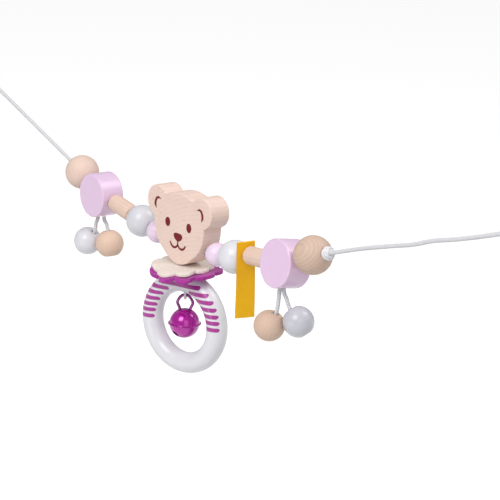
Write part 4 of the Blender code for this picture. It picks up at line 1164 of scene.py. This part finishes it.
def round_end(at, inner, reach):
    """Points round the end of a line, from its left side to its right."""
    ux, uz = way_between(inner, at)
    turns = [math.pi / 2 - math.pi * k / 6 for k in range(1, 6)]
    return [(at[0] + reach * (ux * math.cos(t) - uz * math.sin(t)),
             at[1] + reach * (uz * math.cos(t) + ux * math.sin(t))) for t in turns]


def stroke(points, widths):
    """Outline of a drawn line whose width runs through the given widths."""
    line = flat_curve(points, 0.22)
    shares = np.linspace(0, 1, len(line))
    across = np.interp(shares, np.linspace(0, 1, len(widths)), widths) / 2
    left = []
    right = []
    for i, (x, z) in enumerate(line):
        ux, uz = way_between(line[max(i - 1, 0)], line[min(i + 1, len(line) - 1)])
        left.append((x - uz * across[i], z + ux * across[i]))
        right.append((x + uz * across[i], z - ux * across[i]))
    return (left + round_end(line[-1], line[-2], across[-1]) + right[::-1]
            + round_end(line[0], line[1], across[0]))


# %% Print the face
EYE_X = 10.15
EYE_Z = 13.7
EYE_HALF = (2.37, 2.85)
NOSE = ((-4.2, 7.2), (-3.1, 8.2), (-1.0, 8.55), (1.0, 8.55), (3.1, 8.2), (4.2, 7.2),
        (3.9, 5.8), (2.3, 4.2), (0.0, 3.45), (-2.3, 4.2), (-3.9, 5.8))
PHILTRUM = ((0.0, 3.7), (-0.1, 2.3), (-0.1, 0.9))
SMILE = ((-7.2, 1.75), (-6.1, 0.3), (-4.5, -0.62), (-2.7, -0.7), (-1.1, 0.15), (-0.1, 1.2))
EAR_MARK = ((-21.7, 19.9), (-22.6, 22.4), (-22.1, 24.8), (-20.7, 26.4), (-19.1, 26.7),
            (-17.4, 26.0))
INK_LOW = (0.15, 0.013, 0.016)
INK_HIGH = (0.26, 0.024, 0.028)


def lay_on_face(x, z, lift):
    return (x * MM, (-HEAD_THICK / 2 - lift) * MM, z * MM)


marks = []
for side, _ in SIDES:
    marks.append([(side * EYE_X + EYE_HALF[0] * math.cos(math.tau * k / 40),
                   EYE_Z + EYE_HALF[1] * math.sin(math.tau * k / 40)) for k in range(40)])
    for points, widths in ((SMILE, (1.15, 1.4, 1.4, 1.3, 1.15)),
                           (EAR_MARK, (0.4, 1.9, 1.9, 1.65, 1.3, 0.3))):
        marks.append(stroke([(-side * x, z) for x, z in points], widths))
marks.append(flat_curve(NOSE, 0.3, closed=True))
marks.append(stroke(PHILTRUM, (1.2, 1.15, 1.1)))
ink = Finish("brown ink on wood", 0.6, Specular_IOR_Level=0.15)
pores = ink.noise(1900.0, 3.0, ink.own((1, 1, 0.1)))
ink.set(Base_Color=ink.blend(ink.calc("MULTIPLY", pores, ink.noise(350.0, 2.0)), INK_LOW,
                             INK_HIGH))
ink.bump(pores, 0.00003, 0.5)
mount("printed_face", film("printed_face", marks, lay_on_face), head_place, ink, "head",
      "beech")
print("face printed with", len(marks), "marks")

# %% [markdown]
# ## Hanger cord
# A thin cord goes over the main cord in the middle of the head, down through the well and
# both collars, and into the ring, where it is knotted. So the ring hangs from the cord
# and not from the wood.

# %% Braid the hanger
RING_DROP = 48.0 * MM
RING_MIDDLE = 25.45 * MM
RING_TUBE = 6.45 * MM
SEAT_DEPTH = 3.8 * MM
RING_KNOT_LENGTH = 3.0 * MM
HANGER_SPREAD = 0.98 * MM
inner = RING_MIDDLE - RING_TUBE
knot_middle = -RING_DROP + inner + SEAT_DEPTH - GAP - RING_KNOT_LENGTH / 2
knot_top = knot_middle + RING_KNOT_LENGTH / 2 + GAP
over = CORD_D / 2 + 2 * GAP + THIN_CORD_D / 2
one_side = [(HANGER_SPREAD, knot_top), (HANGER_SPREAD, (knot_top - 8 * MM) / 2),
            (HANGER_SPREAD + 0.1 * MM, -7 * MM), (over * 0.92, -2.2 * MM), (over, 0),
            (0.71 * over, 0.71 * over), (0, over)]
hanging = one_side + [(-y, z) for y, z in reversed(one_side[:-1])]
hanger = smooth_route([head_place @ Vector((0, y, z)) for y, z in hanging], 2.6 * MM)
braided("hanger_braid", hanger, THIN_CORD_D, "head", "hanger_cord")
print("hanger", round(length_of(hanger) / MM, 1), "mm")

# %% [markdown]
# ## Felt collars
# Two felt scallops lie on the ring below the chin, a cream one on a larger magenta one.
# Felt is cut, so its edge is square but soft, and it droops where nothing carries it. The
# collars are drawn as polar grids. The rim's notches and its droop are given at a few
# angles and run smoothly between them, and the upper collar pushes the lower one down.

# %% Cut and drape the felt
CHIN = -10.8
FELT = 2.2
FELT_EDGE = 0.55
FELT_CLEAR = 0.15
CREAM_GAP = 0.3
MAGENTA_GAP = 0.5
DROOP_CURVE = 2.2
SPRING_BACK = 0.35
CREAM_NOTCHES = (-160, -103, -56.5, -15.7, 28, 75, 118, 155)
CREAM_DROPS = ((-160, 0.0), (-122, 0.2), (-103, 2.6), (-79, 3.1), (-56.5, 1.85),
               (-40, 1.5), (-15.7, 0.1), (5, 0.0), (52, 0.6), (110, 0.2), (178, -0.2))
MAGENTA_NOTCHES = (-130, -90.6, -56, -21.7, 26, 66, 106, 148, 190)
MAGENTA_DROPS = ((-150, 0.3), (-112, 0.3), (-90.6, 2.2), (-73.5, 3.6), (-56, 2.2),
                 (-37.4, 2.6), (-21.7, 1.1), (6, 0.0), (45, 0.2), (100, 0.7), (160, 0.4))
CREAM_REACH = 20.6
MAGENTA_REACH = 22.5
HOLE_RADIUS = 3.1


def share_of(angle, start, end):
    """How far an angle lies between two others, all round: over 1 if it is outside."""
    return (angle - start) % 360 / ((end - start) % 360)


def droop(pairs, angle):
    """The droop at an angle, smooth between the angles of the table and all the way round."""
    for (a0, v0), (a1, v1) in zip(pairs, pairs[1:] + pairs[:1]):
        t = share_of(angle, a0, a1)
        if t <= 1:
            return v0 + (v1 - v0) * t * t * (3 - 2 * t)
    return 0.0


def rim_radius(angle, diameter, notches, depth, slip):
    """Radius of the scalloped edge at an angle in degrees, on a disc that has slipped."""
    way = math.radians(angle)
    rim = diameter / 2 + slip[0] * math.cos(way) + slip[1] * math.sin(way)
    for start, end in zip(notches, notches[1:] + notches[:1]):
        t = share_of(angle, start, end)
        if t < 1:
            return rim - depth * (1 - math.sin(math.pi * t) ** 0.62)
    return rim - depth


print("felt", FELT, "mm thick")

# %% Drape a felt disc
FELT_ROWS = 22


def felt_disc(name, diameter, notches, depth, slip, surface, steps=288):
    """A disc whose upper side follows surface(angle, radius), with soft cut edges."""
    verts = []
    for k in range(steps):
        angle = 360 * k / steps - 180
        edge = rim_radius(angle, diameter, notches, depth, slip) - FELT_EDGE
        flat = [HOLE_RADIUS + (edge - HOLE_RADIUS) * (i / (FELT_ROWS - 1)) ** 0.9
                for i in range(FELT_ROWS)]
        rim = []
        for t in (math.pi * i / 8 for i in range(1, 8)):
            bulge = math.copysign(abs(math.cos(t)) ** 0.55, math.cos(t))
            rim.append((edge + FELT_EDGE * math.sin(t) ** 0.6, FELT / 2 * (bulge - 1)))
        column = [(r, 0.0) for r in flat] + rim + [(r, -FELT) for r in reversed(flat)]
        for r, under in column:
            verts.append((r * math.cos(math.radians(angle)) * MM,
                          r * math.sin(math.radians(angle)) * MM,
                          (surface(angle, r) + under) * MM))
    faces = [(a, d, c, b) for a, b, c, d in tube_faces(steps, len(column), True)]
    mesh = bpy.data.meshes.new(name)
    mesh.from_pydata(verts, [], faces)
    return smoothed(mesh, 60)


def cream_surface(angle, r):
    return CHIN - CREAM_GAP - droop(CREAM_DROPS, angle) * (r / CREAM_REACH) ** DROOP_CURVE


def magenta_surface(angle, r):
    own = (CHIN - MAGENTA_GAP - FELT
           - droop(MAGENTA_DROPS, angle) * (r / MAGENTA_REACH) ** DROOP_CURVE)
    pressed = cream_surface(angle, min(r, CREAM_REACH)) - FELT - FELT_CLEAR
    return min(own, pressed + max(0.0, r - CREAM_REACH) * SPRING_BACK)


def felt_finish(name, low, high):
    """Pressed wool: a matt cloud of fibres with a soft sheen at its edges."""
    wool = Finish(name, 0.92, Sheen_Weight=0.3, Sheen_Roughness=0.5, Specular_IOR_Level=0.15)
    mix = wool.calc("MULTIPLY", wool.noise(1300.0, 5.0, None, 2.5), 0.55)
    mix = wool.calc("MULTIPLY_ADD", wool.noise(380.0, 3.0, None, 1.2), 0.45, mix)
    wool.set(Base_Color=wool.blend(wool.spread(mix, 0.33, 0.67), low, high))
    wool.bump(mix, 0.00035, 0.8)
    return wool


# %% Lay the collars on the ring
COLLARS = (("cream", 38.0, (CREAM_NOTCHES, 2.6, (-1.0, -1.7), cream_surface),
            (0.77, 0.665, 0.59), (0.92, 0.84, 0.765)),
           ("magenta", 45.0, (MAGENTA_NOTCHES, 3.3, (0, 0), magenta_surface),
            (0.25, 0.010, 0.18), (0.56, 0.06, 0.46)))
for word, diameter, cut, low, high in COLLARS:
    mesh = felt_disc(word + "_felt", diameter, *cut)
    felt = mount(word + "_felt", mesh, Matrix.Translation(head_bore),
                 felt_finish(word + " felt", low, high), "collars", "felt_" + word,
                 word + "_collar")
    print(word, "felt", len(mesh.polygons), "faces")

# %% [markdown]
# ## Ring
# The grasping ring is a turned ring of beech with a smooth white lacquer. It is a torus,
# so its grid comes straight from two angles. A hole for the hanger goes down through its
# top, and opens below into a seat for the knot.

# %% Turn the ring
RING_YAW = math.radians(14.5)
AROUND = 160
ROUND_TUBE = 64
HANGER_HOLE = 4.4
SEAT_D = 5.9
ring_place = stand(head_bore - UP * RING_DROP, (math.cos(RING_YAW), math.sin(RING_YAW), 0), UP)


def torus_point(big, small):
    reach = RING_MIDDLE + RING_TUBE * math.cos(small)
    return (reach * math.cos(big), RING_TUBE * math.sin(small), reach * math.sin(big))


bm = bmesh.new()
rings = [[bm.verts.new(torus_point(math.tau * i / AROUND, math.tau * k / ROUND_TUBE))
          for k in range(ROUND_TUBE)] for i in range(AROUND)]
join_rings(bm, rings, closed=True)
ring = mount("turned_ring", mesh_from(bm, "turned_ring"), ring_place,
             lacquer("ring white", RING_WHITE, 31), "ring", "lacquer_white", "ring")
below = ring_place @ Vector((0, 0, inner - 2 * MM))
drill(ring, "hanger hole", HANGER_HOLE, below,
      ring_place @ Vector((0, 0, RING_MIDDLE + RING_TUBE + 2 * MM)))
drill(ring, "knot seat", SEAT_D, below, ring_place @ Vector((0, 0, inner + SEAT_DEPTH)))
print("ring", round(2 * (RING_MIDDLE + RING_TUBE) / MM, 1), "mm across")

# %% [markdown]
# ## Painted bars
# Straight bars of magenta paint cross the front of the ring, level with each other, as
# if the whole ring had been dipped behind a comb. Each bar is a film over the torus. Its
# grid is laid out flat in front of the ring and every point is pushed back on to it.

# %% Paint the bars
BAR_HALF = 1.25
BAR_TILT = math.radians(1.9)
BAR_ROWS = ((1.05, 20.4, 30.6), (5.07, 19.6, 30.3), (8.85, 18.3, 29.5), (12.8, 16.0, 28.0),
            (16.9, 12.7, 25.6), (20.85, 7.8, 22.1))
TOP_BAR = (24.7, -16.4, 16.4)
BAR_LANES = 9
BAR_TIP = 0.02
MAGENTA_PAINT = (0.38, 0.020, 0.275)


def on_ring(x, z, lift):
    """A point of the flat layout, in mm, pushed on to the front of the ring."""
    flat = Vector((x * math.cos(BAR_TILT) - z * math.sin(BAR_TILT), 0,
                   x * math.sin(BAR_TILT) + z * math.cos(BAR_TILT))) * MM
    core = flat.normalized() * RING_MIDDLE
    off = flat - core
    deep = math.sqrt(max(RING_TUBE ** 2 - off.length_squared, 0))
    return core + (off - Vector((0, deep, 0))).normalized() * (RING_TUBE + lift * MM)


def painted_bar(bm, row, start, end, columns=44):
    """One bar with round ends, as a closed film between two places of a row."""
    rows = []
    for i in range(columns + 1):
        x = start + (end - start) * (0.5 - 0.5 * math.cos(math.pi * i / columns))
        near = min(x - start, end - x, BAR_HALF)
        half = math.sqrt(max(BAR_HALF ** 2 - (BAR_HALF - near) ** 2, BAR_TIP ** 2))
        lanes = [row + half * (2 * k / BAR_LANES - 1) for k in range(BAR_LANES + 1)]
        rows.append([[on_ring(x, z, lift) for z in lanes] for lift in (FILM_FRONT, FILM_BACK)])
    slab(bm, rows)


bm = bmesh.new()
for row, inner_x, outer_x in BAR_ROWS:
    painted_bar(bm, row, inner_x, outer_x)
    painted_bar(bm, row, -outer_x, -inner_x)
painted_bar(bm, *TOP_BAR, columns=90)
mount("painted_bars", mesh_from(bm, "painted_bars", 50), ring_place,
      lacquer("magenta paint", MAGENTA_PAINT, 41), "ring", "lacquer_white")
print("bars painted", 2 * len(BAR_ROWS) + 1)

# %% [markdown]
# ## Bell cord loop
# A small loop of the thin cord comes out of the ring's seat and carries the bell. It
# swings on the ring, and the bell swings on it.

# %% Braid the bell's loop
bell_across = toward(135, 0)
bell_face = toward(45, 0)
loop_pivot = place_of("bell_loop_swing")
hang_point = place_of("bell_swing")
depth = (hang_point - loop_pivot).z
start = knot_middle - RING_KNOT_LENGTH / 2 - 2 * GAP - (loop_pivot - head_bore).z
wide = 1.75 * MM
drape = [(0.95 * MM, start), (1.15 * MM, start - 0.8 * MM), (wide, depth * 0.5),
         (0.8 * wide, depth * 0.87), (0, depth)]
drape += [(-x, z) for x, z in reversed(drape[:-1])]
loop_route = smooth_route([loop_pivot + bell_face * x + UP * z for x, z in drape], 1.5 * MM)
braided("bell_loop_braid", loop_route, THIN_CORD_D, "bell_cord_loop", "bell_cord_loop")
print("loop hangs", round(-depth / MM, 2), "mm below its pivot")

# %% [markdown]
# ## Jingle bell
# A jingle bell is two pressed shells with a crimped seam between them. The lower one has
# a slot with a round hole at each end, and a steel pellet rolls inside. A bent wire goes
# through the upper shell to carry it. The shells are turned from one profile and pierced.

# %% Press the shells
BELL_RADIUS = 9.2
BELL_WALL = 0.8
FLANGE = 1.0
FLANGE_EDGE = 0.16
SEAM = 0.05
SLOT_SIZE = (13.2, 1.7, 6.0)
SLOT_TURN = math.radians(-48)
SLOT_HOLE = 4.6
SLOT_HOLE_DOWN = math.radians(39)
LOOP_FOOT = 3.3
LOOP_WIDEST = 4.7
LOOP_WIRE = 1.8
bell_at = place_of("pellet_roll")


def shell_corners():
    """Half of the bell from its pole to the seam and back inside, in mm."""
    inside = BELL_RADIUS - BELL_WALL
    flange = BELL_RADIUS + FLANGE
    outer = arc_corners(BELL_RADIUS, 0, math.pi / 2 - math.asin(1.15 / BELL_RADIUS), 30)
    rim = [(SEAM + FLANGE_EDGE + 0.12, BELL_RADIUS + 0.18, 0.3),
           (SEAM + FLANGE_EDGE, flange - 0.1, 0.25), (SEAM, flange, 0.12)]
    return outer + rim + arc_corners(inside, math.pi / 2 - math.asin(SEAM / inside), 0, 24)


def plated(name, colour, roughness, wear, metal=1.0, coat=0.4, **constants):
    """Coloured plating: a metal whose gloss is cloudy and whose surface is nearly even."""
    plate = Finish(name, roughness, Metallic=metal, Coat_Weight=coat, Coat_Roughness=0.04,
                   **constants)
    cloud = plate.noise(240.0, 4.0)
    plate.set(Base_Color=plate.blend(cloud, *shades(colour, 0.86, 1.1, 0.9)),
              Roughness=plate.spread(cloud, 0, 1, roughness * 0.8, roughness * 1.3))
    plate.bump(plate.noise(130.0, 2.0), wear, 0.6)
    return plate


bell_metal = plated("bell lacquer", (0.42, 0.005, 0.31), 0.24, 0.00006, 0.28, 1.0,
                    Specular_IOR_Level=0.2, Coat_IOR=1.45)
shells = {}
for word, way in (("upper", UP), ("lower", -UP)):
    mesh = lathe("bell_" + word, shell_corners(), 96)
    shells[word] = mount("bell_" + word, mesh, stand(bell_at, way, bell_across), bell_metal,
                         "bell", "bell_magenta", "bell_" + word + "_shell")
print("bell", round(2 * (BELL_RADIUS + FLANGE), 1), "mm across its seam")

# %% Pierce the shells
foot_height = math.sqrt((BELL_RADIUS - BELL_WALL) ** 2 - LOOP_FOOT ** 2) + BELL_WALL * 0.3
slot_way = bell_across * math.cos(SLOT_TURN) + bell_face * math.sin(SLOT_TURN)
bm = bmesh.new()
bmesh.ops.create_cube(bm, size=1.0)
bmesh.ops.scale(bm, vec=[size * MM for size in SLOT_SIZE], verts=bm.verts)
carve(shells["lower"], put("slot tool", mesh_from(bm, "slot tool", None),
                           stand(bell_at - UP * BELL_RADIUS * MM, slot_way, UP)))
for hand in (-1, 1):
    foot = bell_at + bell_across * hand * LOOP_FOOT * MM
    drill(shells["upper"], "foot hole", LOOP_WIRE + 0.9, foot + UP * (foot_height - 3) * MM,
          foot + UP * (BELL_RADIUS + 2) * MM)
    aim = slot_way * hand * math.cos(SLOT_HOLE_DOWN) - UP * math.sin(SLOT_HOLE_DOWN)
    drill(shells["lower"], "slot end", SLOT_HOLE, bell_at + aim * (BELL_RADIUS - 4) * MM,
          bell_at + aim * (BELL_RADIUS + 3) * MM)
print("lower shell", len(shells["lower"].data.polygons), "faces")

# %% Bend the bell's wire and drop in the pellet
PELLET_RADIUS = 2.6
PELLET_CLEAR = 0.3
wire_top = ((hang_point - bell_at).z + THIN_CORD_D / 2 + 2 * GAP) / MM + LOOP_WIRE / 2
rise = wire_top - BELL_RADIUS
half_wire = [(LOOP_FOOT * 0.94, foot_height), (LOOP_FOOT, foot_height + 1.2),
             (LOOP_WIDEST, BELL_RADIUS + rise * 0.46),
             (LOOP_WIDEST * 0.86, BELL_RADIUS + rise * 0.64),
             (LOOP_WIDEST * 0.34, wire_top - 0.5), (0, wire_top)]
half_wire += [(-x, z) for x, z in reversed(half_wire[:-1])]
wire_route = smooth_route([bell_at + (bell_across * x + UP * z) * MM for x, z in half_wire],
                          0.25 * MM)


def wire_radius(turn, along):
    return np.full_like(turn + along, LOOP_WIRE / 2 * MM)


mount("bell_wire", sweep("bell_wire", wire_route, 28, wire_radius), Matrix.Identity(4),
      plated("wire plating", (0.21, 0.03, 0.18), 0.26, 0.00005), "bell", "bell_magenta",
      "bell_wire_loop")
pellet_drop = BELL_RADIUS - BELL_WALL - PELLET_CLEAR - PELLET_RADIUS
mount("steel_pellet", lathe("steel_pellet", arc_corners(PELLET_RADIUS, 0, math.pi, 30), 48),
      Matrix.Translation(bell_at - UP * pellet_drop * MM),
      plated("pellet steel", (0.50, 0.50, 0.52), 0.3, 0.00006), "pellet", "pellet_steel",
      "bell_pellet")
print("wire", round(length_of(wire_route) / MM, 1), "mm")

# %% [markdown]
# ## Hooks
# Each free cord ends in a loop knotted round the eye of a sprung hook. The hook is one
# bent rod: from the nose round the bow, down the back, round the eye and up to a flat lug.
# The gate is a shorter rod with a flat end that turns on a pin through the lug.

# %% Sizes and helpers of the hooks
ROD = 3.0
HOOK_REACH = 30.0
BOW_R = 7.5
EYE_R = 4.7
GATE_ROD = 2.4
LUG_R = 3.1
LUG_THICK = 1.5
LUG_EDGE = 0.3
WEB_R = 1.2
WEB_LONG = 2.4
PIN_D = 1.6
PIN_HEAD_D = 3.0
PIVOT = (8.0, -6.0)
HOOK_START = 176.0
gap = GAP / MM
hook_steel = plated("bright nickel", (0.62, 0.62, 0.63), 0.2, 0.00008)


def bend(centre, radius):
    """Five points of a half circle, as (u, v)."""
    lean = 0.71 * radius
    return [(centre + u, v) for u, v in ((0, -radius), (lean, -lean), (radius, 0),
                                         (lean, lean), (0, radius))]


bow_u = HOOK_REACH + ROD / 2 - BOW_R
eye = [(-u, -v) for u, v in bend(0, EYE_R)]
HOOK_LINE = [(bow_u - 3.6, -BOW_R + 0.9), *bend(bow_u, BOW_R), (bow_u - 8.0, BOW_R - 0.5),
             (3.0, EYE_R + 0.4), *eye[:-1], (0, -EYE_R - 0.1), (PIVOT[0] - 3.5, PIVOT[1] + 0.5)]


def in_hook(place, u, v, y=0.0):
    return place @ Vector((u * MM, y * MM, v * MM))


def disc(name, radius, thick, edge, place):
    """A round plate with soft edges, whose axis is X of the placing matrix."""
    hold = radius - edge * 2
    return put(name, lathe(name, [(0, 0, 0), (0, hold, 0), (0, radius, edge),
                                  (thick, radius, edge), (thick, hold, 0), (thick, 0, 0)], 56),
               place)


def rod_end(radius):
    """Rounded ends for a rod of a known length: the radius falls off in a quarter circle."""
    def radius_at(turn, along):
        near = np.clip(np.minimum(along, along.max() - along) / (0.55 * radius), 0, 1)
        return radius * np.sqrt(np.clip(1 - 0.8 * (1 - near) ** 2, 0, 1)) + 0 * turn
    return radius_at


def bent_rod(name, line, sides, diameter, body, node):
    """A piece of hook steel bent along a line, with rounded ends."""
    return mount(name, sweep(name, line, sides, rod_end(diameter / 2 * MM)),
                 Matrix.Identity(4), hook_steel, body, "hook_steel", node)


print("hook line of", len(HOOK_LINE), "points")

# %% Bend the hooks
for side, word in SIDES:
    away = away_of(word)
    hook_place = stand(place_of(word + "_end_ball_spin") + away * HOOK_START * MM, away, UP)
    across = hook_place.to_3x3() @ Vector((0, 1, 0))
    down = hook_place.to_3x3() @ Vector((0, 0, 1))
    line = smooth_route([in_hook(hook_place, *point) for point in HOOK_LINE], 0.5 * MM)
    rod = bent_rod(word + "_bent_hook", line, 28, ROD, "chain", word + "_hook")
    lug_at = in_hook(hook_place, *PIVOT, gap / 2)
    carve(rod, disc("lug", LUG_R, LUG_THICK, LUG_EDGE, stand(lug_at, across, away)), "UNION")
    web = lathe("web", [(0, 0, 0), (0, WEB_R, 0), (WEB_LONG, WEB_R, 0), (WEB_LONG, 0, 0)], 32)
    web_place = stand(in_hook(hook_place, PIVOT[0] - 4.2, PIVOT[1] + 0.6, 0.9), away, UP)
    carve(rod, put("web", web, web_place), "UNION")
    carve(rod, disc("relief", LUG_R + 0.6, 4.2, 0.1, stand(lug_at, -across, away)))
    drill(rod, "pin hole", PIN_D + PLAY, lug_at - across * 5 * MM, lug_at + across * 5 * MM)

    pivot = place_of(word + "_gate_hinge")
    plate = disc(word + "_gate_plate", LUG_R, LUG_THICK, LUG_EDGE,
                 stand(pivot - across * gap / 2 * MM, -across, away))
    nose = in_hook(hook_place, *HOOK_LINE[0]) - pivot
    inward = across * GATE_ROD / 2 * MM
    tip = (pivot + nose + away * 0.6 * MM - inward
           + down * ((ROD + GATE_ROD) / 2 + gap) * MM)
    root = pivot + away * (PIN_HEAD_D / 2 + 0.8) * MM - inward + down * 0.3 * MM
    arm = smooth_route([root, root.lerp(tip, 0.5), tip], 0.5 * MM)
    gate = bent_rod(word + "_gate_rod", arm, 24, GATE_ROD, word + "_gate", word + "_gate")
    carve(gate, plate, "UNION")
    drill(gate, "pin hole", PIN_D + PLAY, pivot - across * 5 * MM, pivot + across * 5 * MM)

    half = LUG_THICK + gap * 1.5
    pin = mirrored([(half + 0.8, 0, 0), (half + 0.8, PIN_HEAD_D / 2, 0.35),
                    (half, PIN_HEAD_D / 2, 0.08), (half, PIN_D / 2, 0)])
    mount(word + "_turned_pin", lathe(word + "_turned_pin", pin, 40),
          stand(pivot, across, away), hook_steel, "chain", "hook_steel", word + "_gate_pin")

    turn = ROD / 2 + 2 * gap + 1.0
    tie = [(-12.0 + 2 * gap, 0, 1.15), (-10.0, 0, 1.9), (-EYE_R - 1.5, 0, turn),
           (-EYE_R + 0.4, 0, turn), (-EYE_R + 0.72 * turn, 0, 0.72 * turn),
           (-EYE_R + turn, 0, 0)]
    tie += [(u, v, -y) for u, v, y in reversed(tie[:-1])]
    tie_line = smooth_route([in_hook(hook_place, *point) for point in tie], 1.9 * MM)
    braided(word + "_hook_tie", tie_line, CORD_D, "chain", word + "_hook_loop")
    print(word, "hook bent from", round(length_of(line) / MM), "mm of rod")
